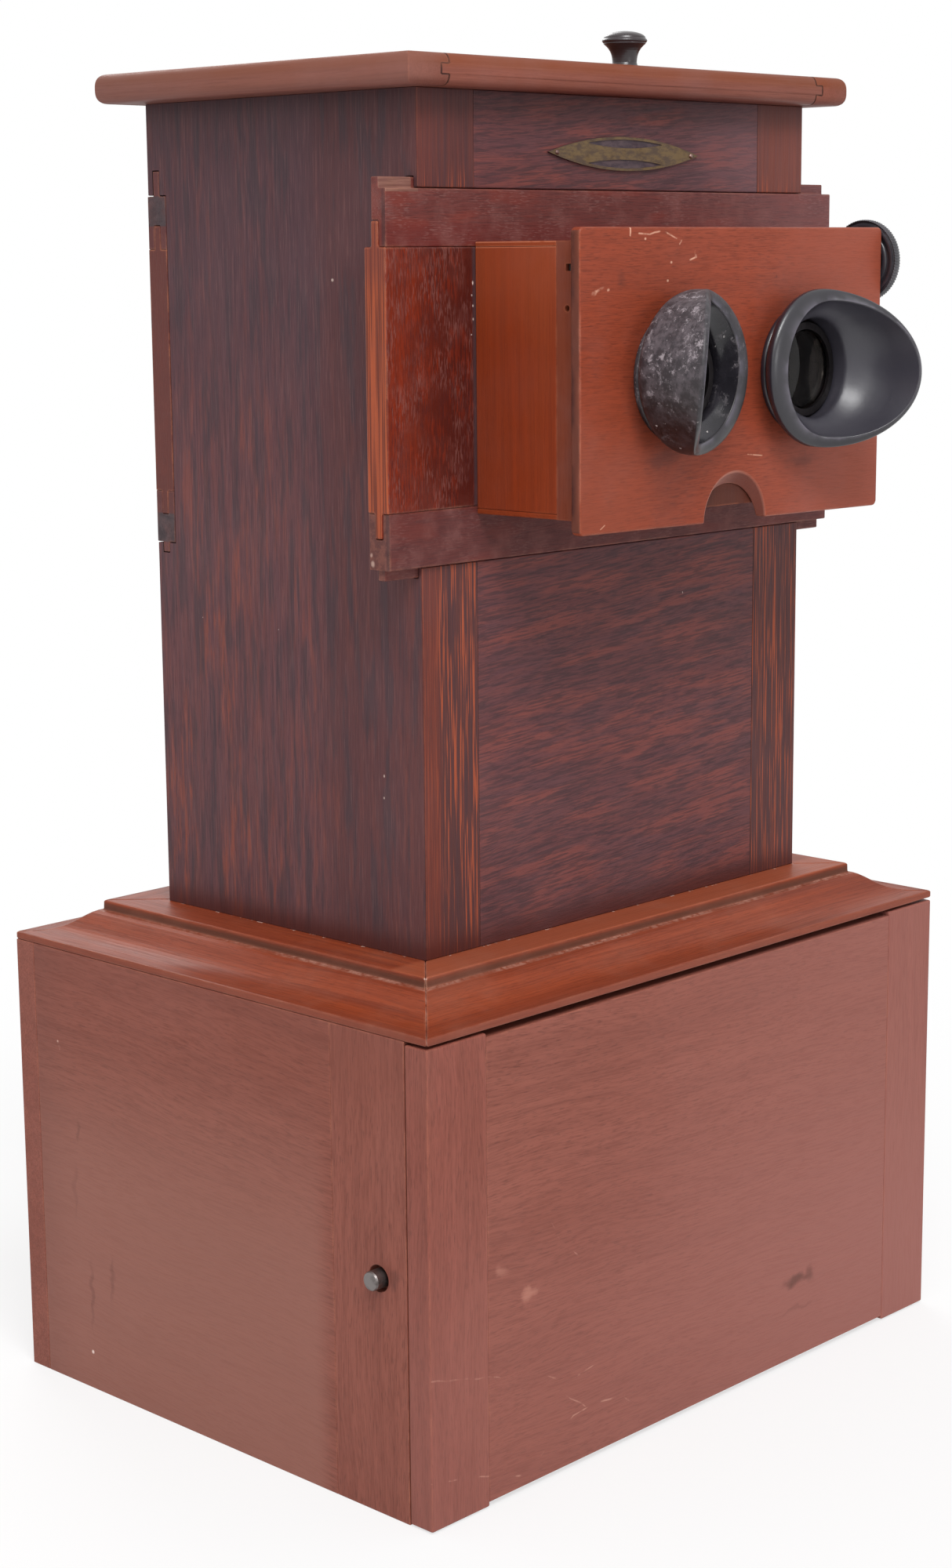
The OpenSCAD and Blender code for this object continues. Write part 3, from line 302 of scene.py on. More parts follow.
clouds = g.noise(g.vector("MULTIPLY", moved, (9, 24, 24)), detail=3.0)
g.feed(out["Bands"], g.ramp(bands, 0.38, 0.62))
g.feed(out["Streaks"], g.ramp(streaks, 0.38, 0.66))
g.feed(out["Fibres"], g.ramp(fibres, 0.42, 0.68))
g.feed(out["Pores"], g.ramp(pores, 0.56, 0.7))
g.feed(out["Clouds"], g.ramp(clouds, 0.36, 0.66))
grain_group = g.tree

# %% [markdown]
# ## Edge wear
#
# Polish goes first where hands and cloths pass over an arris. The Bevel node
# gives the normal that a rounded edge would have; where it differs from the
# real one there is an edge. A noise breaks the line up, because wear is never
# even.

# %% Edge wear group
g, put, out = new_group("Edge wear", {"Width": 0.0012, "Amount": 0.6, "Patch size": 0.012},
                        {"Mask": float})
rounded = g.node("ShaderNodeBevel", {"Radius": put["Width"]}, samples=4).outputs[0]
true = g.node("ShaderNodeNewGeometry").outputs["Normal"]
turn = g.math("SUBTRACT", 1.0, g.vector("DOT_PRODUCT", rounded, true))
patch = g.noise(g.at, g.math("DIVIDE", 1.0, put["Patch size"]), detail=4.0, roughness=0.65)
g.feed(out["Mask"], g.times(g.ramp(turn, 0.02, 0.2), g.ramp(patch, 0.38, 0.62), put["Amount"]))
wear_group = g.tree

# %% [markdown]
# ## Bloom, specks and flecks
#
# Old shellac turns milky in patches: a thin grey veil with soft borders. Small
# pale specks of plaster and paint sit on top. On the lens panel the open
# pores have filled with pale wax, which leaves short flecks along the grain.
# All are masks, so that each wood can take as much of them as it shows.

# %% Bloom, speck and fleck groups
g, put, out = new_group("Bloom", {"Patch size": 0.05, "Amount": 0.3, "Seed": 0.0}, {"Mask": float})
shift = g.node("ShaderNodeCombineXYZ", {0: put["Seed"], 1: put["Seed"]}).outputs[0]
patch = g.noise(g.vector("ADD", g.at, shift), g.math("DIVIDE", 1.0, put["Patch size"]), detail=5.0, roughness=0.6)
g.feed(out["Mask"], g.math("MULTIPLY", g.ramp(patch, 0.44, 0.74), put["Amount"]))
bloom_group = g.tree

g, put, out = new_group("Specks", {"Spacing": 0.008, "Radius": 0.0006, "Share": 0.2}, {"Mask": float})
ragged = g.scaled(g.noise(g.at, 900.0, detail=1.0, output="Color"), 0.0008)
cell = g.node("ShaderNodeTexVoronoi", {
    "Vector": g.vector("ADD", g.at, ragged), "Scale": g.math("DIVIDE", 1.0, put["Spacing"])})
spot = g.math("LESS_THAN", g.math("MULTIPLY", cell.outputs["Distance"], put["Spacing"]), put["Radius"])
chance = g.split(cell.outputs["Color"])[0]
g.feed(out["Mask"], g.math("MULTIPLY", spot, g.math("LESS_THAN", chance, put["Share"])))
speck_group = g.tree

g, put, out = new_group("Flecks", {"Place": (0.0, 0.0, 0.0), "Length": 0.004, "Width": 0.0008,
                                   "Threshold": 0.6}, {"Mask": float})
dashes = g.noise(stretched(g, put["Place"], put["Length"], put["Width"]), detail=1.0)
flocks = g.noise(g.vector("MULTIPLY", put["Place"], (70, 120, 120)), detail=2.0)
edge = g.math("ADD", put["Threshold"], 0.08)
g.feed(out["Mask"], g.times(g.ramp(dashes, put["Threshold"], edge), g.ramp(flocks, 0.4, 0.6)))
fleck_group = g.tree

# %% [markdown]
# ## Scratches and bruises
#
# A few marks are so plain that an owner would know the piece by them: long
# scratches on the door, a thumb-sized bruise, scuffs above the lenses. A
# scratch is the distance to a line between two points, a bruise the distance
# to the middle of an ellipse. Both let the caller disturb the place first, so
# that the mark doesn't look ruled.

# %% Scratch and bruise groups
g, put, out = new_group("Scratch", {
    "Place": (0.0, 0.0, 0.0), "Start": (0.0, 0.0, 0.0), "End": (0.0, 0.0, 0.0), "Width": 0.0004,
}, {"Mask": float})
line = g.vector("SUBTRACT", put["End"], put["Start"])
away = g.vector("SUBTRACT", put["Place"], put["Start"])
share = g.math("DIVIDE", g.vector("DOT_PRODUCT", away, line), g.vector("DOT_PRODUCT", line, line), clamp=True)
gap = g.vector("LENGTH", g.vector("SUBTRACT", away, g.scaled(line, share)))
g.feed(out["Mask"], g.ramp(gap, put["Width"], g.math("MULTIPLY", put["Width"], 0.3)))
scratch_group = g.tree

g, put, out = new_group("Bruise", {
    "Place": (0.0, 0.0, 0.0), "Middle": (0.0, 0.0, 0.0), "Reach": (0.01, 0.01, 0.01)}, {"Mask": float})
away = g.vector("DIVIDE", g.vector("SUBTRACT", put["Place"], put["Middle"]), put["Reach"])
g.feed(out["Mask"], g.ramp(g.vector("LENGTH", away), 1.0, 0.25))
bruise_group = g.tree

# %% [markdown]
# ## Stained inside
#
# The tower, the lens box and the tube are stained black on the inside, so
# that no stray light reaches the eye. One material can do both sides of a
# board: the inside is where the surface looks towards the middle of the box.

# %% Inside group
g, put, out = new_group("Inside", {"Middle": (0.0, 0.0, 0.0)}, {"Mask": float})
coords = g.node("ShaderNodeTexCoord").outputs
away = g.vector("MULTIPLY", g.vector("SUBTRACT", coords["Object"], put["Middle"]), (1, 1, 0))
g.feed(out["Mask"], g.math("LESS_THAN", g.vector("DOT_PRODUCT", coords["Normal"], away), -0.0001))
inside_group = g.tree

# %% [markdown]
# ## Paint
#
# A finish is a ground colour with tones laid over it, each only where its
# masks allow it: a band of the board, a stretch of noise, one of the groups
# above. This class keeps the colour while it grows, so that nearly every mark
# is one line: its tone first, then the masks that are multiplied for it.

# %% Paint helper
class Paint(Tree):
    """A material whose colour grows tone by tone; board is the place turned along the grain."""

    def lay(self, tone, *masks):
        self.colour = self.mix(self.times(*masks), self.colour, tone)

    def x(self, low, high, *out):
        return self.ramp(self.parts[0], low, high, *out)

    def y(self, low, high, *out):
        return self.ramp(self.parts[1], low, high, *out)

    def z(self, low, high, *out):
        return self.ramp(self.parts[2], low, high, *out)

    def below(self, value, limit):
        return self.math("LESS_THAN", value, limit)

    def above(self, value, limit):
        return self.math("GREATER_THAN", value, limit)

    def away(self, value, middle=0.0):
        """How far a value lies from a middle one, on either side."""
        return self.math("ABSOLUTE", self.math("SUBTRACT", value, middle))

    def near(self, value, middle, outer, inner):
        """1 within the inner distance of a middle value, 0 beyond the outer one."""
        return self.ramp(self.away(value, middle), outer, inner)

    def patchy(self, scale, low, high, *out, detail=2.0, roughness=0.5):
        """Noise of the given fineness, cut to a mask."""
        return self.ramp(self.noise(self.at, scale, detail, roughness), low, high, *out)

    def shifted(self, shift):
        """The board's place moved to another part of a noise."""
        return self.vector("ADD", self.board, (shift,) * 3) if shift else self.board

    def veins(self, length, width, shift=0, detail=2.0, roughness=0.5):
        """Noise stretched along the board."""
        return self.noise(stretched(self, self.shifted(shift), length, width), 1.0, detail, roughness)

    def flecks(self, length, width, threshold, shift=0):
        return self.group(fleck_group, {
            "Place": self.shifted(shift), "Length": length, "Width": width, "Threshold": threshold})["Mask"]

    def haze(self, patch, amount, seed):
        return self.group(bloom_group, {"Patch size": patch, "Amount": amount, "Seed": seed})["Mask"]

    def dots(self, spacing, radius, share):
        return self.group(speck_group, {"Spacing": spacing, "Radius": radius, "Share": share})["Mask"]

    def worn(self, width, amount, patch):
        return self.group(wear_group, {"Width": width, "Amount": amount, "Patch size": patch})["Mask"]

    def end_faces(self):
        """1 on the faces that look to the left or right."""
        normal = self.split(self.node("ShaderNodeTexCoord").outputs["Normal"])[0]
        return self.above(self.away(normal), 0.8)

    def shaken(self, fineness, detail, wobble):
        """The place, disturbed a little so that a mark doesn't look ruled."""
        shake = self.noise(self.at, fineness, detail, output="Color")
        return self.vector("ADD", self.at, self.scaled(self.vector("SUBTRACT", shake, (0.5, 0.5, 0.5)), wobble))

    def scratches(self, tone, rows, wobble=0.004):
        """Scratches (start, end, width, strength), a little crooked and broken."""
        place = self.shaken(55.0, 2.0, wobble)
        broken = self.ramp(self.noise(place, 260.0, detail=3.0), 0.36, 0.58)
        total = 0.0
        for start, end, width, strength in rows:
            mask = self.group(scratch_group, {"Place": place, "Start": start, "End": end, "Width": width})["Mask"]
            total = self.either(self.times(mask, strength), total)
        self.lay(tone, total, broken)

    def bruises(self, tone, rows, wobble=0.008):
        """Soft spots (middle, reach in millimetres, strength)."""
        place = self.shaken(120.0, 4.0, wobble)
        total = 0.0
        for middle, reach, strength in rows:
            reach = tuple(part * MM for part in reach)
            mask = self.group(bruise_group, {"Place": place, "Middle": middle, "Reach": reach})["Mask"]
            total = self.either(self.times(mask, strength), total)
        self.lay(tone, total)


def lines(on_face, rows):
    """Scratches from rows of numbers: two places on a face and the width, in millimetres, and the strength."""
    return [(on_face(a, b), on_face(c, d), width * MM, strength) for a, b, c, d, width, strength in rows]


print("paint can", ", ".join(name for name in vars(Paint) if name[0] != "_"))

# %% [markdown]
# ## Wood
#
# One function makes every wooden finish from the same groups. It takes the
# direction of the grain, a ground colour and its layers: which part of the
# grain, how strong, and in which colour. The polish is a coat on the shader:
# thick and smooth where the surface is still shiny, none on the dull cabinet.

# %% Wood material
AXIS_ORDER = {"X": (0, 1, 2), "Y": (1, 0, 2), "Z": (2, 0, 1)}
PALE_DUST, MILKY, STAIN = (196, 176, 168), (138, 112, 112), (28, 22, 20)


def wood(name, along, ground, layers, streak=(0.12, 0.004), fibre=(0.03, 0.0005), wave=0.004, seed=0.0,
         lean=0.0, rough=0.42, spec=0.2, coat=0.0, coat_rough=0.2, wear=0.5, wear_colour=(176, 112, 84),
         wear_width=0.0012, bloom=0.15, bloom_size=0.05, milky=MILKY, specks=0.0, bump=0.25, marks=None,
         stained_round=None):
    made, p = new_material(name, Paint)
    p.colour = ground
    p.board = p.node("ShaderNodeCombineXYZ", {
        number: p.parts[axis] for number, axis in enumerate(AXIS_ORDER[along])}).outputs[0]
    if lean:
        p.board = p.node("ShaderNodeVectorRotate", {"Vector": p.board, "Angle": lean},
                         rotation_type="Y_AXIS").outputs[0]
    grain = p.group(grain_group, {
        "Place": p.board, "Streak length": streak[0], "Streak width": streak[1],
        "Fibre length": fibre[0], "Fibre width": fibre[1], "Wave": wave, "Seed": seed})
    for layer, (amount, *tone) in layers.items():
        p.lay(tuple(tone), grain[layer], amount)
    if marks:
        marks(p)
    haze = p.haze(bloom_size, bloom, seed)
    p.lay(milky, haze)
    p.lay(wear_colour, p.worn(wear_width, wear, 0.009))
    if specks:
        p.lay(PALE_DUST, p.dots(0.011, 0.0003, specks), 0.7)
    roughness = p.math("ADD", rough, p.times(grain["Fibres"], 0.12))
    roughness = p.math("ADD", roughness, p.times(haze, 0.5), clamp=True)
    if stained_round:
        inner = p.group(inside_group, {"Middle": stained_round})["Mask"]
        p.lay(STAIN, inner)
        roughness = p.either(roughness, p.times(inner, 0.75))
    height = p.math("ADD", p.times(grain["Fibres"], -0.4), p.times(grain["Pores"], -0.7))
    p.surface({"Base Color": p.colour, "Roughness": roughness, "Specular IOR Level": spec, "Coat Weight": coat,
               "Coat Roughness": coat_rough, "Normal": p.relief(height, bump)})
    return made


print("grain can run along", ", ".join(AXIS_ORDER))


def dress(material, *names):
    for name in names:
        mesh = nodes[name].data
        mesh.materials.clear()
        mesh.materials.append(material)
    print("%s: %s" % (material.name, ", ".join(names)))


# %% [markdown]
# ## The cabinet
#
# The cabinet is the plainest wood: matt, brown-pink, mottled by light, with
# fine pores that slant a little. Its door carries the marks of use, given
# here by their places on the front face: crossing scratches low on the left
# and a dark bruise on the right.

# %% Cabinet woods
DOOR_FACE, SIDE_FACE = -105 * MM, -137 * MM


def on_door(x, z):
    return (x * MM, DOOR_FACE, z * MM)


def on_side(y, z):
    return (SIDE_FACE, y * MM, z * MM)


DOOR_SCRATCHES = lines(on_door, [
    (-81, 93, -75, 84.5, 0.4, 0.8), (-75, 84.5, -60, 70.5, 0.4, 0.7), (-136.5, 52.3, -107, 45, 0.4, 0.4),
    (-107, 45, -68.7, 32.5, 0.4, 0.6), (-68.7, 32.5, -50.3, 34.8, 0.4, 0.6), (-54.7, 35, -50.3, 32.3, 0.4, 0.5),
    (-88.5, 6.6, -80, 13.5, 0.4, 0.6), (-80, 13.5, -68.7, 19.7, 0.4, 0.7), (-68.7, 19.7, -44, 19.2, 0.4, 0.6),
    (-44, 19.2, -38.6, 16.2, 0.4, 0.5), (-137, 17.7, -110.8, 11.6, 0.4, 0.5),
    (-110.8, 11.6, -94.4, 6, 0.4, 0.5), (-72.2, 28.7, -62.6, 20.2, 0.3, 0.5)])


def door_marks(p):
    pink = p.math("ADD", p.times(p.z(0.135, 0.03), 0.4), p.times(p.x(-0.1, 0.12), 0.6))
    p.lay((148, 94, 86), pink, 0.85)
    p.bruises((92, 56, 48), [
        (on_door(55, 32), (9, 4, 3.5), 0.8), (on_door(62.7, 31.5), (6, 4, 2.2), 0.6),
        (on_door(64, 33), (4, 4, 6), 0.55), (on_door(57, 21.5), (15, 4, 1.2), 0.25)])
    p.bruises((178, 120, 104), [(on_door(-90, 69), (5, 4, 3), 0.6), (on_door(-103.6, 79.7), (3, 4, 3), 0.4)])
    p.scratches((190, 138, 122), DOOR_SCRATCHES)


def side_marks(p):
    p.lay((142, 94, 82), p.z(0.15, 0.07), p.y(-0.062, -0.05), 0.75)
    p.lay((116, 62, 50), p.z(0.115, 0.16), 0.35)
    p.lay((104, 62, 54), p.y(0.07, 0.104), 0.35)
    p.bruises((88, 52, 46), [
        (on_side(73.3, 97.5), (4, 1.4, 7), 0.35), (on_side(68, 36), (4, 1.6, 18), 0.35),
        (on_side(56.3, 45), (4, 1.6, 13), 0.3), (on_side(75.5, 75), (4, 1.6, 14), 0.2),
        (on_side(-88.2, 83.5), (4, 3.5, 5), 0.5)])
    p.scratches((200, 160, 146), lines(on_side, [(82.7, 129.1, 81.9, 126.3, 0.6, 1.0)]))
    p.bruises((226, 200, 190), [(on_side(68.8, 14.2), (2, 1, 1), 1.0)], 0.0)


CABINET = dict(
    ground=(135, 75, 61), layers=dict(
        Bands=(0.4, 122, 65, 52), Clouds=(0.55, 140, 81, 68), Streaks=(0.4, 112, 60, 49),
        Fibres=(0.34, 92, 48, 40), Pores=(0.42, 82, 42, 35)),
    fibre=(0.012, 0.0006), wave=0.01, rough=0.5, spec=0.22, bloom=0.1, bloom_size=0.09,
    milky=(152, 104, 96), bump=0.12, wear=0.55, wear_colour=(186, 120, 96), specks=0.012)
dress(wood("door board", "X", seed=0.3, lean=-0.05, marks=door_marks, **CABINET), "door_panel")
dress(wood("cabinet board along X", "X", seed=0.9, **CABINET),
      "cabinet_back", "cabinet_top", "cabinet_floor", "cabinet_shelf")
dress(wood("cabinet side board", "Y", seed=1.3, lean=0.06, marks=side_marks, **CABINET), "cabinet_side_panels")
dress(wood("cabinet corner upright", "Z", seed=2.1, marks=side_marks, **CABINET), "cabinet_side_stiles")
dress(wood("door upright", "Z", seed=2.9, marks=door_marks, **dict(CABINET, ground=(136, 74, 62))), "door_stiles")
dress(wood("slide box wood", "Y", seed=4.1, **CABINET), "slide_boxes")

# %% [markdown]
# ## The moulding
#
# The moulding still has its shellac. Under a smooth coat the wood is a strong
# orange, and the coat mirrors the white room where the view is flat. A worn,
# broken line runs along its upper arrises and down the mitres, and crumbs of
# dust lie in the corner at the tower's foot.

# %% Moulding woods
OGEE_FOOT, OGEE_TOP, LEDGE = 166.3 * MM, 174.0 * MM, 177.5 * MM
TOWER_HALF_X, TOWER_HALF_Y, TOWER_MIDDLE_Y = 99 * MM, 65.5 * MM, -2 * MM


def moulding_marks(p):
    x, y, z = (p.parts[axis] for axis in range(3))
    # Painted light: the top of the ledge in front of the tower is lighter.
    p.lay((158, 84, 57), p.z(LEDGE - 0.4 * MM, LEDGE - 0.1 * MM), p.y(-0.064, -0.068), 0.6)
    # Painted shade: the step under the ledge darkens downwards like a hollow; its wood is also darker.
    step = p.times(p.z(OGEE_TOP - 0.3 * MM, OGEE_TOP + 0.5 * MM), p.z(LEDGE - 0.1 * MM, LEDGE - 2.0 * MM))
    p.lay((84, 48, 34), step, 0.85)
    broken = p.times(p.patchy(420.0, 0.34, 0.62, detail=4.0, roughness=0.7), p.patchy(70.0, 0.38, 0.56, 0.3, 1.0))
    arris = p.near(z, OGEE_TOP - 0.1 * MM, 0.4 * MM, 0.05 * MM)
    p.lay((178, 132, 116), arris, broken, p.y(0.06, -0.06, 0.35, 0.85), 0.75)
    p.lay((124, 68, 54), p.z(OGEE_FOOT + 0.2 * MM, OGEE_FOOT - 0.4 * MM), 0.5)
    mitre = p.near(p.away(x), p.math("ADD", p.away(y), DOOR_FACE - SIDE_FACE), 0.5 * MM, 0.2 * MM)
    p.lay((196, 152, 138), mitre, broken, 0.6)
    beside = p.either(p.math("SUBTRACT", p.away(x), TOWER_HALF_X),
                      p.math("SUBTRACT", p.away(y, TOWER_MIDDLE_Y), TOWER_HALF_Y))
    p.lay((196, 160, 148), p.ramp(beside, 0.9 * MM, 0.5 * MM), p.patchy(520.0, 0.6, 0.66), 0.8)
    p.bruises((214, 190, 180), [((-0.1143, -0.0823, 0.1773), (1.2, 1.2, 0.8), 0.9)], 0.0006)


POLISHED = dict(
    ground=(142, 62, 33), marks=moulding_marks, layers=dict(
        Bands=(0.5, 116, 44, 24), Streaks=(0.6, 106, 42, 24), Clouds=(0.4, 138, 66, 44),
        Fibres=(0.35, 82, 34, 22), Pores=(0.3, 76, 32, 22)),
    rough=0.42, spec=0.1, coat=0.14, coat_rough=0.32, bloom=0.2, bloom_size=0.03, milky=(150, 100, 84),
    bump=0.12, wear=0.5, wear_colour=(190, 134, 108), wear_width=0.001, specks=0.04)
dress(wood("moulding along X", "X", seed=5.2, **POLISHED), "moulding_front", "moulding_back")
dress(wood("moulding along Y", "Y", seed=6.4, **POLISHED), "moulding_sides")

# %% [markdown]
# ## Pieces with a shape of their own
#
# Some pieces are shaped in the cells that follow. A mesh grows from rows of
# points with faces bridged between them. Each finished piece rides on a body
# and takes its material; the solid it stands in for, if any, is hidden.

# %% Piece helpers
def bridge(work, rows, closed=True, meet=False, flip=False):
    """Faces between neighbouring rows of points; a row may be a loop, and the last may meet the first."""
    for row, other in zip(rows, rows[1:] + (rows[:1] if meet else [])):
        if closed:
            row, other = row + row[:1], other + other[:1]
        for corners in zip(row, row[1:], other[1:], other):
            work.faces.new(corners[::-1] if flip else corners)


def mesh_of(work, name, smooth=True):
    """The mesh of the work, which is done with then."""
    mesh = bpy.data.meshes.new(name)
    work.to_mesh(mesh)
    work.free()
    mesh.polygons.foreach_set("use_smooth", [smooth] * len(mesh.polygons))
    return mesh


def new_piece(mesh, material, body, replaced=None):
    """The object of a finished mesh, under the mesh's name."""
    mesh.materials.clear()
    mesh.materials.append(material)
    piece = bpy.data.objects.new(mesh.name, mesh)
    bpy.context.scene.collection.objects.link(piece)
    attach(piece, body)
    if replaced:
        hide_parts(replaced)
    print("%s: %d points" % (piece.name, len(mesh.vertices)))
    return piece


def circle(radius, steps):
    return [(radius * math.cos(2 * math.pi * i / steps), radius * math.sin(2 * math.pi * i / steps))
            for i in range(steps)]


print("a circle of 4 points:", [tuple(round(part, 3) for part in point) for point in circle(1.0, 4)])

# %% [markdown]
# ## The lid
#
# The lid has lost most of its polish except on the upper side. Its edge is
# flat with rounded arrises, so the half round of the solid is eased to that
# in a copy of each lid part. The copy of the cross pieces also opens the seam
# beside the board by a hair, and paint makes the stepped tongue visible.

# %% Lid
LID_SEAM_X, LID_TONGUE, LID_TONGUE_HALF, LID_MIDDLE_Z = 94 * MM, 3.6 * MM, 1.67 * MM, 0.463
LID_EDGE_EASE, LID_EDGE_POWER = 4.0 * MM, 2.8
SEAM_GAP, ON_EDGE, ON_SEAM = 0.3 * MM, 0.03 * MM, 0.02 * MM


def lid_marks(p):
    smudge = p.ramp(p.veins(0.03, 0.004, detail=3.0), 0.42, 0.6, 0.75, 0.95)
    p.lay((118, 62, 40), p.z(0.4625, 0.4655), smudge)
    p.lay((124, 90, 82), p.x(-0.095, -0.106), p.z(0.4678, 0.4668), 0.28)
    p.lay((112, 66, 58), p.z(0.4605, 0.4585), 0.4)
    far, lift = p.away(p.parts[0]), p.away(p.parts[2], LID_MIDDLE_Z)
    joint = p.math("ADD", LID_SEAM_X, p.times(p.below(lift, LID_TONGUE_HALF), LID_TONGUE))
    level = p.times(p.near(lift, LID_TONGUE_HALF, 0.4 * MM, 0.15 * MM),
                    p.above(far, LID_SEAM_X), p.below(far, LID_SEAM_X + LID_TONGUE))
    p.lay((40, 20, 16), p.either(p.near(far, joint, 0.55 * MM, 0.25 * MM), level), 0.85)


def eased_lid_part(node, material):
    """A copy of a lid part whose half-round edge is flattened to a face with rounded arrises."""
    low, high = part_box("lid_cleats")
    half, middle = (high.z - low.z) / 2, (high.z + low.z) / 2
    mesh = nodes[node].data.copy()
    mesh.name = node + "_eased"
    if "custom_normal" in mesh.attributes:
        mesh.attributes.remove(mesh.attributes["custom_normal"])
    moved = 0
    for vertex in mesh.vertices:
        before = vertex.co.copy()
        x, y, z = before
        lift = min(abs(z - middle) / half, 1.0)
        round_inset = half - half * math.sqrt(1 - lift ** 2)
        eased = LID_EDGE_EASE * (1 - (1 - lift ** LID_EDGE_POWER) ** (1 / LID_EDGE_POWER))
        if abs(high.x - abs(x) - round_inset) < ON_EDGE:
            x = math.copysign(high.x - eased, x)
        if abs(y - low.y - round_inset) < ON_EDGE:
            y = low.y + eased
        if abs(high.y - y - round_inset) < ON_EDGE:
            y = high.y - eased
        if node == "lid_cleats" and abs(abs(x) - LID_SEAM_X) < ON_SEAM:
            x = math.copysign(LID_SEAM_X + SEAM_GAP, x)
        vertex.co = (x, y, z)
        moved += vertex.co != before
    mesh.set_sharp_from_angle(angle=math.radians(30))
    print("moved", moved, "points of", node)
    return new_piece(mesh, material, "lid", node)


LID = dict(
    ground=(129, 74, 60), layers=dict(
        Bands=(0.45, 114, 62, 46), Streaks=(0.45, 104, 54, 40), Clouds=(0.4, 134, 80, 68),
        Fibres=(0.22, 86, 46, 36), Pores=(0.16, 84, 44, 36)),
    rough=0.5, spec=0.12, coat=0.04, coat_rough=0.3, bloom=0.12, bloom_size=0.04, bump=0.12, wear=0.5,
    wear_colour=(176, 112, 88), specks=0.02, marks=lid_marks)
lid_parts = [eased_lid_part("lid_board", wood("lid board", "X", seed=7.7, **LID)),
             eased_lid_part("lid_cleats", wood("lid cross piece", "Y", seed=8.8, **LID))]

# %% [markdown]
# ## The tower
#
# The tower is darker and cooler: a brown that has gone purple, with orange
# flames on the side boards, slanting wavy dashes on the front boards and
# bright stripes in the corner uprights. Its foot is darker with dirt, where
# no cloth reaches, and with painted shade; painted shade lies under the lid.

# %% Tower woods
TOWER_MIDDLE = (0.0, -0.002, 0.35)
TOWER_FACE = -67.5 * MM


def painted_shade_and_foot_dirt(p):
    # Dirt and painted shade darken the foot of the tower; painted shade of the lid darkens its top.
    p.lay((74, 30, 24), p.z(0.1895, 0.1785), 0.75)
    p.lay((48, 28, 30), p.z(0.446, 0.458), 0.45)


def tower_side_marks(p):
    # Darker towards the top: partly a darker wood, partly painted shade under the lid.
    p.lay((68, 46, 53), p.z(0.3, 0.42), 0.75)
    p.lay((78, 43, 44), p.y(-0.012, -0.03), 0.65)
    p.lay((96, 50, 46), p.y(-0.0585, -0.0605), 0.3)
    low = p.times(p.z(0.4, 0.27, 0.2, 1.0), p.y(-0.02, 0.02, 0.35, 1.0))
    cluster = p.ramp(p.veins(0.1, 0.016, 6), 0.36, 0.6)
    flames = p.ramp(p.veins(0.026, 0.0026, detail=5.0, roughness=0.62), 0.45, 0.66)
    p.lay((130, 66, 52), flames, cluster, low, 0.9)
    p.lay((60, 46, 52), p.ramp(p.veins(0.03, 0.0032, 3, detail=4.0), 0.48, 0.64), 0.65)
    threads = p.veins(0.012, 0.0004, 8)
    p.lay((50, 36, 40), p.ramp(threads, 0.54, 0.68, 0.0, 0.28))
    p.lay((140, 96, 92), p.ramp(threads, 0.44, 0.32, 0.0, 0.16))
    painted_shade_and_foot_dirt(p)
    p.bruises((206, 182, 172), [
        ((-0.099, -0.0489, 0.2374), (1, 0.5, 0.7), 0.7), ((-0.099, -0.0487, 0.23), (1, 0.5, 0.6), 0.6),
        ((-0.099, -0.0283, 0.3987), (1, 0.8, 0.7), 0.7)], 0.0)


def front_board_marks(p):
    red = p.noise(p.vector("MULTIPLY", p.board, (22, 150, 150)), detail=4.0, roughness=0.6)
    p.lay((126, 64, 56), p.ramp(red, 0.46, 0.62), 0.55)
    p.lay((58, 38, 42), p.ramp(p.veins(0.009, 0.0006), 0.47, 0.6), 0.62)
    # Painted light: the upper right of the board is lighter, as if lit from the right.
    p.lay((116, 84, 90), p.x(0.02, 0.08), p.z(0.415, 0.425), 0.4)
    # Painted shade: the boards are darker between 0.32 and 0.415 m, next to the sliding panel.
    p.lay((62, 40, 45), p.z(0.295, 0.32), p.z(0.42, 0.415), 0.3)
    painted_shade_and_foot_dirt(p)


def stile_marks(p):
    lower, upper = p.z(0.33, 0.29), p.z(0.41, 0.43)
    orange = p.times(p.x(-0.0900, -0.0925), p.ramp(lower, 0.0, 1.0, 0.35, 0.75))
    p.lay((112, 48, 33), orange)
    near_gap = p.either(p.times(lower, p.z(0.19, 0.28, 0.3, 1.0)), p.z(0.437, 0.424))
    striped = p.times(near_gap, p.math("SUBTRACT", 1.0, p.times(orange, 0.9)))
    p.lay((70, 40, 42), striped, 0.55)
    p.lay((158, 74, 44), p.ramp(p.veins(0.03, 0.0006, detail=3.0), 0.52, 0.62), striped, 0.9)
    # Painted shade: the upper left upright is darker under the lid.
    p.lay((80, 36, 38), upper, p.below(p.parts[0], 0.0), 0.25)
    p.lay((66, 38, 38), p.ramp(p.veins(0.02, 0.0005, 7), 0.48, 0.64), 0.4)
    # Painted light: the upper right upright is lighter, as if lit from the right.
    p.lay((134, 68, 52), upper, p.above(p.parts[0], 0.0), 0.35)
    painted_shade_and_foot_dirt(p)


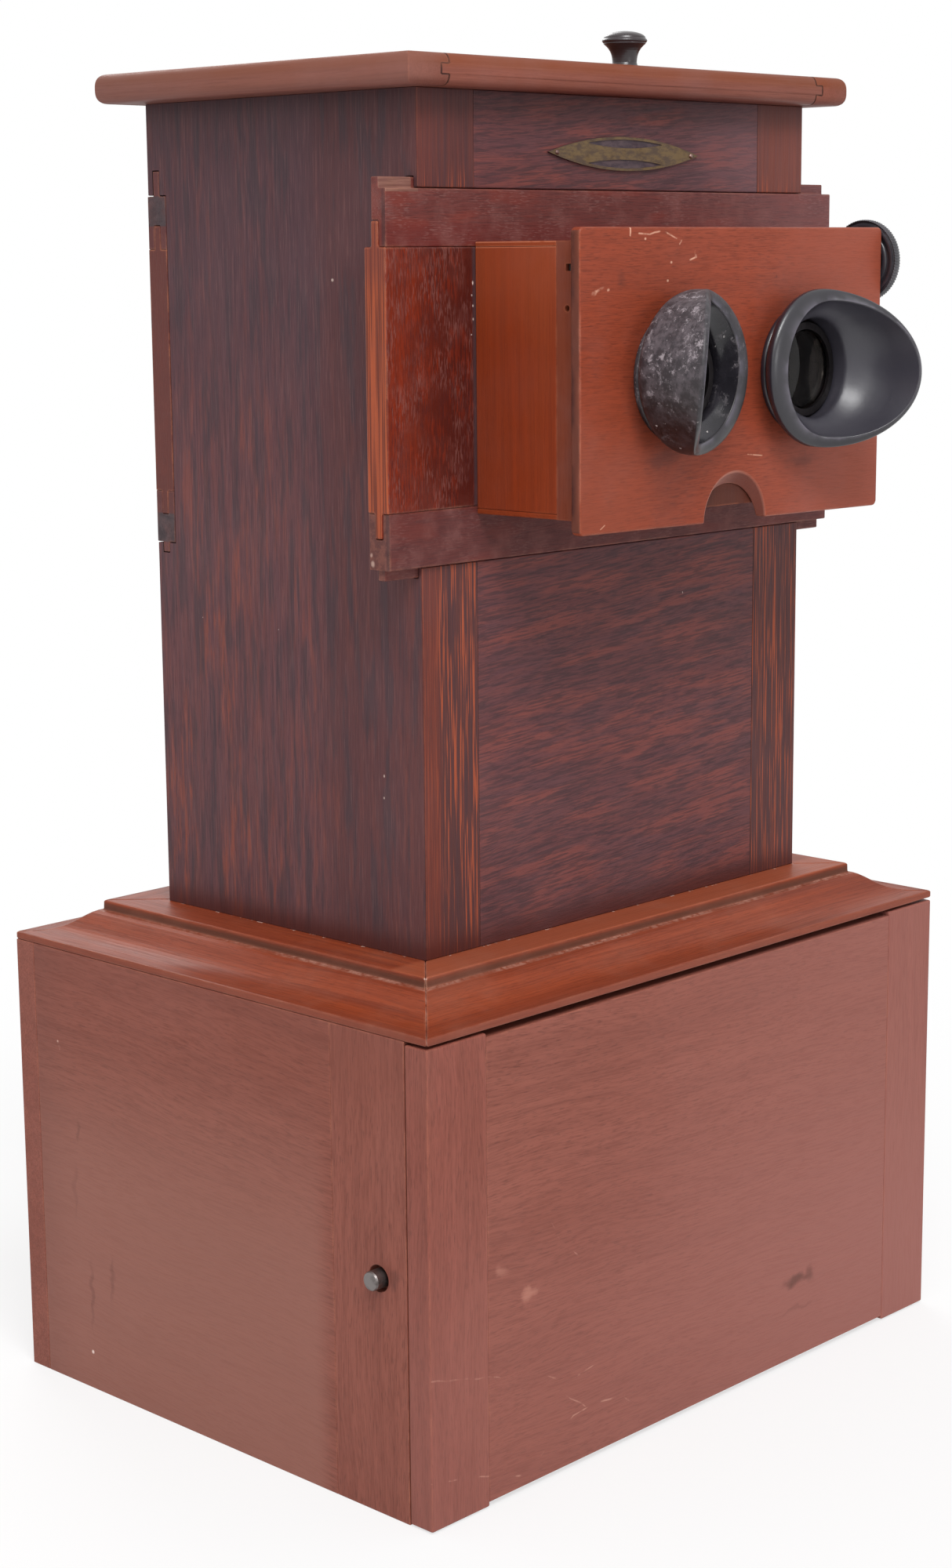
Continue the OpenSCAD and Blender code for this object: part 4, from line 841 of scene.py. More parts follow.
TOWER = dict(
    ground=(96, 58, 60), layers=dict(
        Bands=(0.45, 87, 54, 60), Clouds=(0.4, 82, 56, 62), Streaks=(0.45, 110, 58, 53),
        Fibres=(0.45, 62, 42, 48), Pores=(0.35, 54, 36, 42)),
    rough=0.46, spec=0.18, coat=0.05, coat_rough=0.3, bloom=0.1, bloom_size=0.07, milky=(120, 96, 100),
    bump=0.2, wear=0.15, wear_colour=(132, 78, 62), specks=0.006)
SIDE_BOARD = dict(
    TOWER, streak=(0.06, 0.002), fibre=(0.03, 0.00045), wave=0.005, marks=tower_side_marks,
    layers=dict(TOWER["layers"], Streaks=(0.3, 106, 56, 52), Fibres=(0.38, 62, 42, 48)),
    stained_round=TOWER_MIDDLE)
dress(wood("tower side", "Z", seed=3.1, **SIDE_BOARD), "tower_left_side", "tower_right_side")
FRONT_BOARD = dict(TOWER, ground=(96, 51, 51), streak=(0.03, 0.0024), fibre=(0.012, 0.0006), wave=0.016,
                   lean=0.07, marks=front_board_marks, stained_round=TOWER_MIDDLE)
dress(wood("tower front board", "X", seed=9.4, **FRONT_BOARD),
      "upper_front_board", "lower_front_board", "upper_back_board", "lower_back_board")
STILE = dict(
    TOWER, ground=(98, 50, 42), layers=dict(
        Bands=(0.5, 106, 52, 42), Streaks=(1.0, 72, 44, 46), Fibres=(0.5, 78, 40, 36), Pores=(0.25, 54, 32, 30)),
    streak=(0.12, 0.0017), fibre=(0.04, 0.0005), wave=0.002, wear=0.3, wear_colour=(150, 84, 62),
    marks=stile_marks, stained_round=TOWER_MIDDLE)
dress(wood("tower corner upright", "Z", seed=11.9, **STILE), "upper_front_stiles", "lower_front_stiles")

# %% [markdown]
# ## The lens panel
#
# The sliding panel is the most handled part. Its upright boards go from
# orange at the outer end to a dark wine colour next to the lens box, full of
# pale and red flecks; sawn end faces stay light. The rails are dull, with
# patches of bloom, and at the back panel their sawn ends are nearly black.

# %% Lens panel woods
TONGUE = 3.5 * MM
RAIL_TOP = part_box("lens_panel_top_rail")[1].z
PANEL_TOP, PANEL_FOOT = RAIL_TOP - TONGUE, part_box("lens_panel_bottom_rail")[0].z + TONGUE
RAIL_SOLID = 10.1 * MM


def rail_marks(p):
    red = p.noise(p.vector("MULTIPLY", p.board, (40, 170, 170)), detail=3.0)
    p.lay((116, 46, 36), p.ramp(red, 0.48, 0.64), 0.5)
    p.lay((96, 34, 30), p.z(0.4175, 0.4145), p.z(0.405, 0.409), 0.6)
    lower = p.z(0.36, 0.35)
    # Painted shade: the bottom rail, under the lens box, is darker.
    p.lay((72, 38, 38), lower, 0.4)
    p.lay((150, 116, 112), p.flecks(0.0028, 0.0005, 0.54), p.ramp(lower, 0.0, 1.0, 0.18, 0.1))
    ragged = p.patchy(330.0, 0.38, 0.6, detail=4.0, roughness=0.7)
    ends = p.end_faces()
    p.lay(p.mix(ragged, (116, 72, 62), (86, 52, 48)), ends, lower, 0.75)
    p.bruises((196, 164, 150), [((-0.1145, -0.0612, 0.3098), (1, 1.2, 1.4), 0.6),
                                ((-0.1145, -0.0606, 0.3126), (1, 0.8, 1), 0.5)], 0.001)
    sawn = p.mix(p.ramp(p.veins(0.02, 0.0007, detail=3.0), 0.36, 0.62), (138, 98, 84), (104, 68, 58))
    p.lay(sawn, p.above(p.parts[2], RAIL_TOP - 4.6 * MM), p.below(p.parts[0], -0.1),
          p.math("SUBTRACT", 1.0, ends), 0.85)
    # Painted light: the right half of the top rail is lighter, as if lit from the right.
    p.lay((112, 78, 80), p.x(0.0, 0.1), p.z(0.4, 0.41), 0.35)
    p.lay((56, 34, 36), ends, p.y(-0.0668, -0.0678), 0.6)
    half = (PANEL_TOP - PANEL_FOOT) / 2
    from_middle = p.away(p.parts[2], PANEL_TOP - half)
    inner = half - RAIL_SOLID
    solid = p.times(p.ramp(from_middle, half + 0.1 * MM, half - 0.1 * MM),
                    p.ramp(from_middle, inner - 0.2 * MM, inner + 0.2 * MM))
    rail_end = p.mix(solid, (86, 48, 48), p.mix(ragged, (66, 60, 64), (54, 48, 52)))
    p.lay(p.mix(ends, (74, 46, 46), rail_end), p.y(0.03, 0.05), 0.85)


def panel_board_marks(p):
    far = p.away(p.parts[0])
    waver = p.times(p.math("SUBTRACT", p.noise(p.at, 45.0, detail=3.0), 0.5), 0.018)
    p.lay((68, 23, 18), p.ramp(p.math("ADD", far, waver), 0.11, 0.086), 0.85)
    p.lay((132, 42, 18), p.flecks(0.005, 0.0006, 0.5, 5), 0.35)
    p.lay((70, 30, 30), p.flecks(0.004, 0.0005, 0.5, 9), 0.5)
    p.lay((128, 84, 78), p.flecks(0.003, 0.00045, 0.52), 0.4)
    p.lay((66, 50, 54), p.ramp(far, 0.0765, 0.0752), 0.8)
    p.bruises((226, 204, 194), [((x * MM, -0.069, z * MM), (0.4, 1, long), strong) for x, z, long, strong in (
        (-75.7, 397.5, 0.9, 0.9), (-76.2, 393.6, 0.5, 0.6), (-75.7, 390.3, 0.6, 0.7), (-75.6, 386.1, 0.6, 0.6),
        (-76.5, 381.2, 0.4, 0.5))], 0.0005)
    sawn = p.mix(p.ramp(p.veins(0.05, 0.0007, detail=3.0), 0.42, 0.6), (158, 76, 46), (104, 48, 34))
    sawn = p.mix(p.times(p.z(0.392, 0.404), 0.6), sawn, (104, 50, 42))
    p.lay(sawn, p.end_faces(), p.above(far, 0.112))
    p.lay((92, 50, 46), p.y(0.03, 0.05), 0.85)


RAIL = dict(
    TOWER, ground=(104, 46, 40), layers=dict(
        Bands=(0.3, 90, 44, 42), Streaks=(0.5, 86, 42, 40), Clouds=(0.4, 94, 46, 44),
        Fibres=(0.5, 66, 33, 33), Pores=(0.35, 56, 28, 28)),
    streak=(0.02, 0.0011), fibre=(0.009, 0.0004), wave=0.003, bloom=0.36, bloom_size=0.01, milky=(130, 88, 84),
    wear=0.7, wear_colour=(160, 106, 84), specks=0.08, rough=0.44, marks=rail_marks)
dress(wood("panel rail", "X", seed=12.2, **RAIL),
      "lens_panel_top_rail", "lens_panel_bottom_rail", "rear_panel_rails")
dress(wood("panel upright board", "Z", (118, 39, 18), dict(
               Bands=(0.3, 112, 36, 18), Streaks=(0.6, 90, 32, 22), Clouds=(0.3, 100, 38, 24),
               Fibres=(0.5, 72, 28, 24), Pores=(0.3, 60, 26, 24)),
           streak=(0.03, 0.0014), fibre=(0.012, 0.0004), wave=0.002, seed=13.6, rough=0.42, spec=0.12, coat=0.15,
           coat_rough=0.24, bloom=0.2, bloom_size=0.01, milky=(118, 66, 58), wear=0.9,
           wear_colour=(176, 110, 80), specks=0.12, marks=panel_board_marks),
      "lens_panel_boards", "rear_panel_stiles")

# %% [markdown]
# ## Lens box
#
# The box is an even orange brown with hardly any figure, with pale worn lines
# along its upper arris and where the top board laps the sides. Its collar is
# browner and darker, with painted shadow where it shows through the nose notch.

# %% Lens box woods
BOX_MIDDLE = (0.0, -0.09, 0.367)
BOX_TOP, BOX_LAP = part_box("lens_box_boards")[1].z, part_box("lens_box_sides")[1].z


def painted_notch_shadow(p):
    """The collar and the box get painted shadow where they show through the nose notch."""
    p.lay((64, 36, 30), p.near(p.parts[0], 0.0, 0.026, 0.018), p.z(0.334, 0.328), 0.7)


def box_marks(p):
    p.lay((150, 70, 42), p.z(0.375, 0.408), 0.5)
    lap = p.near(p.parts[2], BOX_LAP, 0.4 * MM, 0.15 * MM)
    arris = p.z(BOX_TOP - 0.6 * MM, BOX_TOP - 0.2 * MM)
    broken = p.patchy(300.0, 0.34, 0.5, 0.3, 0.8, detail=3.0)
    p.lay((184, 112, 84), p.either(lap, arris), broken, p.end_faces())
    painted_notch_shadow(p)


BOX = dict(
    ground=(131, 50, 22), layers=dict(
        Bands=(0.4, 120, 48, 22), Streaks=(0.45, 108, 42, 20), Clouds=(0.45, 130, 62, 36),
        Fibres=(0.22, 88, 34, 18), Pores=(0.14, 84, 34, 20)),
    rough=0.42, spec=0.1, coat=0.08, coat_rough=0.25, bloom=0.05, bump=0.12, wear=0.4,
    wear_colour=(170, 100, 72), specks=0.02, stained_round=BOX_MIDDLE, marks=box_marks)
COLLAR = dict(BOX, ground=(84, 42, 34), marks=painted_notch_shadow, bloom=0.15)
dress(wood("lens box side", "Z", seed=14.3, streak=(0.09, 0.002), wave=0.001, **BOX), "lens_box_sides")
dress(wood("lens box board", "X", seed=15.3, **BOX), "lens_box_boards", "focus_tube_boards")
dress(wood("lens tube side", "Y", seed=15.9, **BOX), "focus_tube_sides")
dress(wood("lens box runner", "Y", seed=15.1, **dict(BOX, stained_round=None)), "lens_box_runners")
dress(wood("lens box collar", "Z", seed=16.3, streak=(0.08, 0.002), **COLLAR), "lens_box_collar")

# %% [markdown]
# ## Lens board finish
#
# The lens board is the lightest wood of all, with edges worn to the bare
# wood, painted shadows under the cups and a few scuffs above the lenses. The
# slanted face of its nose notch shows cut wood.

# %% Lens board wood
BOARD_FACE = -117.5 * MM
NOTCH_X, NOTCH_R, NOTCH_FRONT_Z, NOTCH_BACK_Z = -0.8, 16.2, 318.7, 314.4


def on_board(x, z):
    return (x * MM, BOARD_FACE, z * MM)


SQUIGGLE = [(-50.7, 412.6), (-45.4, 412.3), (-42.9, 412.9), (-38.5, 413.3), (-35, 411.9), (-32, 410.8),
            (-29.5, 410.2), (-30.5, 409.1)]
BOARD_SCRATCHES = lines(on_board, [(*start, *end, 0.4, 0.75) for start, end in zip(SQUIGGLE, SQUIGGLE[1:])] + [
    (-54.8, 414.2, -54.8, 412, 0.5, 1.0), (-22.7, 406.7, -22.2, 405.1, 0.6, 1.0),
    (-22.2, 405.1, -25.4, 404.2, 0.4, 1.0), (-72.6, 394, -71.4, 394.6, 1.0, 1.0),
    (-71.4, 394.6, -67.4, 396.3, 0.6, 1.0), (-65.5, 395.3, -65.1, 395.4, 0.6, 0.9),
    (5.4, 340.2, 13.4, 339.4, 0.3, 0.7), (-69, 320.9, -67, 322.1, 0.3, 0.6)])


def lens_board_marks(p):
    p.lay((150, 78, 61), p.x(0.0, 0.06), 0.6)
    p.lay((130, 62, 42), p.x(-0.02, -0.07), p.z(0.38, 0.33), 0.5)
    edge = p.mix(p.y(BOARD_FACE + 3.4 * MM, BOARD_FACE + 0.4 * MM), (66, 30, 24), (112, 58, 42))
    edge = p.mix(p.ramp(p.veins(0.002, 0.012, detail=3.0), 0.4, 0.65), edge, (96, 50, 38))
    p.lay(edge, p.end_faces(), p.above(p.away(p.parts[0]), 0.07))
    from_notch = p.vector("MULTIPLY", p.vector("SUBTRACT", p.at, (NOTCH_X * MM, 0, NOTCH_FRONT_Z * MM)), (1, 0, 1))
    from_notch = p.math("SUBTRACT", p.vector("LENGTH", from_notch), NOTCH_R * MM)
    cut = p.mix(p.x(-0.01, 0.004), (150, 104, 94), (102, 54, 44))
    p.lay(cut, p.below(from_notch, 0.3 * MM), p.y(BOARD_FACE + 0.1 * MM, BOARD_FACE + 0.5 * MM), 0.85)
    p.lay((206, 150, 132), p.near(from_notch, 0.0, 0.6 * MM, 0.2 * MM), p.x(0.008, -0.004, 0.1, 0.3),
          p.y(BOARD_FACE + 1.0 * MM, BOARD_FACE + 0.4 * MM))
    # The first two dark spots are painted shadows of the cups on the board; the other two are small dark marks.
    p.bruises((88, 44, 36), [
        (on_board(-39, 341.5), (11, 3, 4.2), 0.5), (on_board(35, 336.8), (10.5, 3, 3.6), 0.5),
        (on_board(20.2, 398.7), (1.2, 1, 0.8), 0.9), (on_board(-59.1, 398.6), (3, 1, 3), 0.4)])
    p.bruises((206, 156, 132), [(on_board(x, z), (0.7, 1, 0.6), 0.9) for x, z in (
        (-47.5, 410.9), (-36.4, 397.7), (-34.7, 403.5))], 0.0006)
    p.scratches((206, 152, 128), BOARD_SCRATCHES, wobble=0.0008)


board_wood = wood(
    "lens board", "X", (139, 59, 35), dict(
        Bands=(0.35, 126, 54, 34), Clouds=(0.5, 142, 66, 46), Streaks=(0.35, 120, 52, 34),
        Fibres=(0.38, 96, 42, 28), Pores=(0.45, 86, 38, 26)),
    streak=(0.03, 0.0016), fibre=(0.007, 0.0004), wave=0.004, seed=17.5, rough=0.44, spec=0.16, coat=0.06,
    coat_rough=0.25, bloom=0.08, bloom_size=0.03, bump=0.12, wear=0.7, wear_width=0.001,
    wear_colour=(196, 136, 112), specks=0.03, marks=lens_board_marks)
dress(board_wood, "lens_board")

# %% [markdown]
# ## Black stain
#
# The floor and the partition behind the lenses, the guides and the slide
# carrier are stained black all round, so that they throw no light about. It is
# the same wood with near-black layers; a little brown shows on rubbed arrises.

# %% Black stained wood
BLACK_STAIN = dict(
    ground=(34, 31, 30), layers=dict(Streaks=(0.6, 24, 22, 22), Fibres=(0.5, 16, 15, 15)),
    rough=0.6, spec=0.2, bloom=0.08, milky=(70, 64, 62), wear=0.3, wear_colour=(110, 78, 60))
dress(wood("black stain", "X", **BLACK_STAIN), "chamber_floor", "tower_septum", "carrier_guides", "tube_septum",
      "slide_carrier")

# %% [markdown]
# ## Hard rubber
#
# The eyecups and knobs are hard rubber. Where fingers reach, it is a smooth
# grey-black with a broad soft shine; on the outside of the left cup the
# surface has gone grey and pitted, with dust in every pit. The cup meshes say
# which points are inside, on the lip or in the groove, so each of them has a
# look of its own.

# %% Hard rubber material
CUP_NOTES = ("inside", "lip", "groove")


def hard_rubber(name, ground, rough, bloom=0.25, spec=0.6, cup=False, weathered=0.0):
    made, p = new_material(name, Paint)
    p.colour = ground
    haze = p.haze(0.012, bloom, 2.0)
    p.lay((74, 70, 78), haze)
    p.lay((170, 164, 160), p.dots(0.0075, 0.0003, 0.16), 0.7)
    roughness = p.math("ADD", rough, p.times(haze, 0.3))
    height = p.noise(p.at, 420.0, detail=3.0)
    if cup:
        inner, lip, dust = (p.node("ShaderNodeAttribute", attribute_name=label).outputs["Fac"]
                            for label in CUP_NOTES)
        bowl_rough = -0.06
        if not weathered:
            bowl_rough = 0.06
            # Painted sheen: the inside of the satin cup is lighter, standing in for the broad reflection of the room.
            p.lay((58, 56, 64), inner, 0.6)
        roughness = p.math("ADD", roughness, p.times(inner, bowl_rough))
        p.lay((104, 80, 78), dust, p.patchy(160.0, 0.35, 0.6))
    if weathered:
        outer = p.math("SUBTRACT", 1.0, inner, clamp=True)
        grey = p.times(p.z(0.347, 0.38, 0.2, 1.0), outer)
        p.lay((56, 50, 54), grey, 0.6)
        p.lay((28, 20, 20), p.z(0.376, 0.354), outer, 0.85)
        p.lay((98, 90, 95), p.patchy(260.0, 0.4, 0.62, detail=6.0, roughness=0.72), grey, weathered)
        crust = p.times(p.patchy(290.0, 0.53, 0.64, detail=6.0, roughness=0.8), p.patchy(75.0, 0.42, 0.56),
                        p.either(grey, p.times(inner, p.x(-0.022, -0.014), 0.55)))
        p.lay((166, 157, 162), crust, 0.8)
        p.lay((150, 142, 146), p.dots(0.0016, 0.0003, 0.4), grey, 0.5)
        nose_side = p.either(p.z(0.362, 0.35), p.times(inner, p.x(-0.024, -0.014)))
        pits = p.times(p.dots(0.003, 0.0004, 0.3), nose_side)
        p.lay((180, 174, 172), pits, 0.8)
        roughness = p.math("ADD", roughness, p.times(grey, 0.22))
        height = p.math("ADD", p.times(height, 0.5), p.math("ADD", p.times(crust, 1.2), p.times(pits, 1.6)))
    if cup:
        # The lip is darkened, and a painted highlight, broken up by noise, runs along its inner arris.
        p.lay((12, 9, 17), lip, 0.9)
        p.lay((120, 113, 128), p.math("POWER", lip, 8.0), p.patchy(120.0, 0.4, 0.6, 0.1, 0.5, detail=3.0))
    p.lay((112, 106, 114), p.worn(0.0012, 0.35, 0.01))
    p.surface({"Base Color": p.colour, "Roughness": p.math("ADD", roughness, 0.0, clamp=True),
               "Specular IOR Level": spec, "Normal": p.relief(height, 0.16)})
    return made


knob_rubber = hard_rubber("turned black rubber", (44, 42, 48), 0.3, bloom=0.15)
dress(knob_rubber, "focus_knob", "carrier_handle")
dress(hard_rubber("brown-black lid knob", (38, 28, 30), 0.3, bloom=0.1), "lid_knob")

# %% [markdown]
# ## Eyecups
#
# An eyecup is turned and pressed: a ring on the lens board, a groove, a bell
# that swells out at once, and a bowl inside. The rim is low and thick at the
# nose, where it rests against the skin, and high and thin at the temple,
# where it keeps the light out. So the mesh is a lathe shape whose profile
# changes its depth and its wall with the angle. The plainer CAD solid stays
# in the frame for contact only, hidden.

# %% Eyecup profile
EYE_X, EYE_Z = 32.5, 367.5
RING_R, BELL_R, BORE_R = 21.0, 26.3, 16.6
BOWL_R, GROOVE_R = BORE_R + 0.4, RING_R - 3.2
BELL_START, BELL_REACH, BOWL_REACH = 3.2, 5.5, 14.0
THROAT_DEPTH, THROAT_RISE = 8.6, 4.3
NOSE_DEPTH, TEMPLE_DEPTH, RIM_EASE, CUP_TURN = 10.8, 32.8, 0.2, math.radians(7)
NOSE_WALL, TEMPLE_WALL, RIM_ARRIS = 7.0, 1.9, 0.45
CUP_ANGLES = 180
BELL_POINTS, ROLL_POINTS, ARRIS_POINTS, BOWL_POINTS = 16, 10, 5, 16
# The ring and the groove as (radius, depth, inside, lip, groove).
CUP_FOOT = [(BORE_R, 0.3, 1, 0, 0), (BORE_R + 0.3, 0.0, 0, 0, 0), (RING_R - 0.5, 0.0, 0, 0, 0),
            (RING_R, 0.4, 0, 0, 0), (RING_R, 1.4, 0, 0, 0), (RING_R - 0.3, 1.95, 0, 0.3, 0),
            (RING_R - 0.9, 2.25, 0, 0, 0.5), (GROOVE_R + 0.5, 2.45, 0, 0, 1), (GROOVE_R, 2.75, 0, 0, 1),
            (GROOVE_R + 0.4, BELL_START, 0, 0, 1)]


def quarter(i, count):
    """The angle at one of the steps of a quarter turn."""
    return math.radians(90 * i / count)


def rim_depth(share):
    low = math.sqrt(1 + RIM_EASE ** 2) - 1
    rise = (math.sqrt(share ** 2 + RIM_EASE ** 2) + share - low) / 2
    return NOSE_DEPTH + (TEMPLE_DEPTH - NOSE_DEPTH) * rise


def swell(depth, start, reach, inner, outer):
    """Radius of a quarter ellipse at a depth: it opens from inner to outer over the reach."""
    share = min(max((depth - start) / reach, 0.0), 1.0)
    return inner + (outer - inner) * math.sqrt(1 - (1 - share) ** 2)


def cup_profile(share):
    """Points (radius, depth, inside, lip, groove) once round the wall; share is 1 at the temple, -1 at the nose."""
    nose = (1 - share) / 2
    depth = rim_depth(share)
    wall = TEMPLE_WALL + (NOSE_WALL - TEMPLE_WALL) * nose ** 1.3
    roll = min(0.4 * wall, 2.2) + 0.2
    shoulder = depth - roll
    points = list(CUP_FOOT)
    for i in range(1, BELL_POINTS + 1):
        d = BELL_START + (shoulder - BELL_START) * (1 - math.cos(quarter(i, BELL_POINTS)))
        points.append((swell(d, BELL_START, BELL_REACH, GROOVE_R, BELL_R), d, 0, 0, max(0.0, 0.6 - 0.3 * i)))
    outer = swell(shoulder, BELL_START, BELL_REACH, GROOVE_R, BELL_R)
    for i in range(1, ROLL_POINTS + 1):
        angle = quarter(i, ROLL_POINTS)
        points.append((outer - (wall - RIM_ARRIS) * (1 - math.cos(angle)), shoulder + roll * math.sin(angle), 0,
                       0.25 + 0.75 * i / ROLL_POINTS, 0))
    top = outer - (wall - RIM_ARRIS)
    for i in range(1, ARRIS_POINTS + 1):
        angle, inwards = quarter(i, ARRIS_POINTS), i / ARRIS_POINTS
        points.append((top - RIM_ARRIS * math.sin(angle), depth - RIM_ARRIS * (1 - math.cos(angle)), inwards,
                       1 - inwards, 0))
    throat = THROAT_DEPTH - THROAT_RISE * nose ** 3
    inner, edge = top - RIM_ARRIS, depth - RIM_ARRIS
    straight = 0.35 + 0.65 * nose ** 4
    for i in range(BOWL_POINTS - 1, 0, -1):
        d = throat + (edge - throat) * math.sin(quarter(i, BOWL_POINTS))
        cone = BOWL_R + (inner - BOWL_R) * (d - throat) / (edge - throat)
        bowl = swell(d, throat, min(BOWL_REACH, edge - throat), BOWL_R, inner)
        points.append((bowl + (cone - bowl) * straight, d, 1, 0, 0))
    corner = len(points)
    points += [(BORE_R + 0.2, throat - 0.1, 1, 0, 0), (BORE_R, throat - 0.6, 1, 0, 0),
               (BORE_R, throat - 1.2, 1, 0, 0), (BORE_R, throat - 2.0, 1, 0, 0), (BORE_R, 2.1, 1, 0, 0)]
    for _ in range(3):
        eased = list(points)
        for i in range(corner - 5, corner + 3):
            eased[i] = tuple((points[i - 1][k] + 2 * points[i][k] + points[i + 1][k]) / 4 for k in (0, 1)) + (1, 0, 0)
        points = eased
    return points


print("rim %.1f mm deep at the nose, %.1f mm at the temple" % (rim_depth(-1), rim_depth(1)))


# %% Eyecups
LIFT_FROM, LIFT_OVER = 2.3, 4


def eyecup(name, side, node, material, lift):
    """side is -1 for the left cup and 1 for the right one; the temple lies outwards.

    The bell sits off its ring by the lift: these cups were pressed on by hand."""
    work = bmesh.new()
    rows, notes = [], []
    for step in range(CUP_ANGLES):
        angle = 2 * math.pi * step / CUP_ANGLES
        row = []
        for radius, depth, *note in cup_profile(math.cos(angle)):
            x, up = side * radius * math.cos(angle), radius * math.sin(angle)
            across = x * math.cos(CUP_TURN) + up * math.sin(CUP_TURN)
            height = -x * math.sin(CUP_TURN) + up * math.cos(CUP_TURN)
            height += lift * min(max((depth - LIFT_FROM) / LIFT_OVER, 0.0), 1.0)
            row.append(work.verts.new(((side * EYE_X + across) * MM, BOARD_FACE - depth * MM, (EYE_Z + height) * MM)))
            notes.append(note)
        rows.append(row)
    bridge(work, rows, meet=True, flip=side < 0)
    bmesh.ops.recalc_face_normals(work, faces=work.faces)
    mesh = mesh_of(work, name)
    for column, label in enumerate(CUP_NOTES):
        layer = mesh.attributes.new(label, "FLOAT", "POINT")
        layer.data.foreach_set("value", [note[column] for note in notes])
    new_piece(mesh, material, "focus_head", node)


eyecup("eyecup_left_turned", -1, "eyecup_left",
       hard_rubber("weathered hard rubber", (28, 26, 31), 0.3, spec=0.5, cup=True, weathered=0.7), 1.3)
eyecup("eyecup_right_turned", 1, "eyecup_right",
       hard_rubber("satin hard rubber", (34, 31, 40), 0.31, bloom=0.12, spec=0.7, cup=True), 0.4)

# %% [markdown]
# ## Focusing knob
#
# The knob is turned from the same rubber: a neck, an inner face with raised
# and sunk rings, a knurled rim and a low dome. The knurl is 90 fine teeth, so
# every lathe step round the rim has its own radius. It turns with its shaft,
# so the whole shape is built round the shaft's axis.

# %% Knob shape
KNOB_TEETH, KNOB_R, KNURL_DEPTH = 90, 14.1, 0.3
knob_low, knob_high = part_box("focus_knob")
knob_axis = ((knob_low.y + knob_high.y) / 2, (knob_low.z + knob_high.z) / 2)
KNOB_PROFILE = [
    (2.05, 0.0), (3.4, 0.0), (3.9, 0.4), (3.9, 5.2), (4.3, 5.9), (5.2, 6.2), (7.4, 6.2), (7.8, 5.9), (8.2, 5.4),
    (9.2, 5.3), (9.7, 5.6), (9.9, 6.0), (10.4, 6.1), (10.9, 5.9), (11.1, 5.3), (11.5, 4.95), (12.1, 4.85),
    (12.6, 5.0), (12.8, 5.4), (13.1, 5.5), (13.35, 5.2), (13.7, 4.9)]
KNOB_RIM = [(KNOB_R - 0.15, 4.9), (KNOB_R, 5.15), (KNOB_R, 7.7), (KNOB_R - 0.15, 7.95)]
KNOB_CAP = [(13.6, 8.1), (12.4, 8.3), (12.0, 8.8), (11.2, 9.2), (10.0, 9.4), (9.6, 9.8), (8.6, 10.5), (7.0, 11.0),
            (5.0, 11.3), (2.5, 11.4), (0.2, 11.4)]


def turned_knob():
    work = bmesh.new()
    rows = []
    for step in range(KNOB_TEETH * 2):
        angle = math.pi * step / KNOB_TEETH
        cut = KNURL_DEPTH if step % 2 else 0.0
        rim = [(radius - cut, depth) for radius, depth in KNOB_RIM]
        rows.append([work.verts.new((knob_low.x + depth * MM, knob_axis[0] + radius * MM * math.cos(angle),
                                     knob_axis[1] + radius * MM * math.sin(angle)))
                     for radius, depth in KNOB_PROFILE + rim + KNOB_CAP])
    bridge(work, rows, closed=False, meet=True)
    work.faces.new([row[-1] for row in rows])
    work.faces.new([row[0] for row in rows][::-1])
    bmesh.ops.recalc_face_normals(work, faces=work.faces)
    mesh = mesh_of(work, "focus_knob_turned")
    mesh.set_sharp_from_angle(angle=math.radians(40))
    new_piece(mesh, knob_rubber, "knob_and_shaft", "focus_knob")


turned_knob()

# %% [markdown]
# ## Lens board shape
#
# The nose notch was cut with a round cutter held at a slant, so its arch is
# lower at the back of the board than at the front. The board itself isn't
# quite square. The outline is drawn once for each face with as many points,
# and the two are joined, holes for the lens cells included.

# %% Lens board shape
BOARD_THICK, CELL_HOLE_R, CORNER_R, NOTCH_FOOT_Z = 4.0, 16.3, 2.0, 318.75
BOARD_CORNERS = [(79.1, 318.2), (79.5, 414.5), (-78.7, 414.6), (-78.6, 319.3)]
CORNER_POINTS, NOTCH_POINTS, HOLE_POINTS = 6, 40, 64


def board_outline(notch_z):
    """The board's edge as points (x, z), counted the same way for both faces."""
    points = []
    for (x, z), (sx, sz), start in zip(BOARD_CORNERS, ((-1, 1), (-1, -1), (1, -1), (1, 1)), (270, 0, 90, 180)):
        for i in range(CORNER_POINTS + 1):
            angle = math.radians(start + 90 * i / CORNER_POINTS)
            points.append((x + sx * CORNER_R + CORNER_R * math.cos(angle),
                           z + sz * CORNER_R + CORNER_R * math.sin(angle)))
    rise = math.asin((NOTCH_FOOT_Z - notch_z) / NOTCH_R)
    for i in range(NOTCH_POINTS + 1):
        angle = math.pi - rise - (math.pi - 2 * rise) * i / NOTCH_POINTS
        points.append((NOTCH_X + NOTCH_R * math.cos(angle), notch_z + NOTCH_R * math.sin(angle)))
    return points


def lens_board_piece():
    work = bmesh.new()
    faces = []
    for y, notch_z in ((BOARD_FACE, NOTCH_FRONT_Z), (BOARD_FACE + BOARD_THICK * MM, NOTCH_BACK_Z)):
        holes = [[(side * EYE_X + x, EYE_Z + z) for x, z in circle(CELL_HOLE_R, HOLE_POINTS)] for side in (-1, 1)]
        rings, edges = [], []
        for loop in [board_outline(notch_z)] + holes:
            ring = [work.verts.new((x * MM, y, z * MM)) for x, z in loop]
            edges += [work.edges.new((a, b)) for a, b in zip(ring, ring[1:] + ring[:1])]
            rings.append(ring)
        bmesh.ops.triangle_fill(work, use_beauty=True, edges=edges)
        faces.append(rings)
    for pair in zip(*faces):
        bridge(work, list(pair))
    bmesh.ops.recalc_face_normals(work, faces=work.faces)
    mesh = mesh_of(work, "lens_board_notched", smooth=False)
    return new_piece(mesh, board_wood, "focus_head", "lens_board")


notched_board = lens_board_piece()

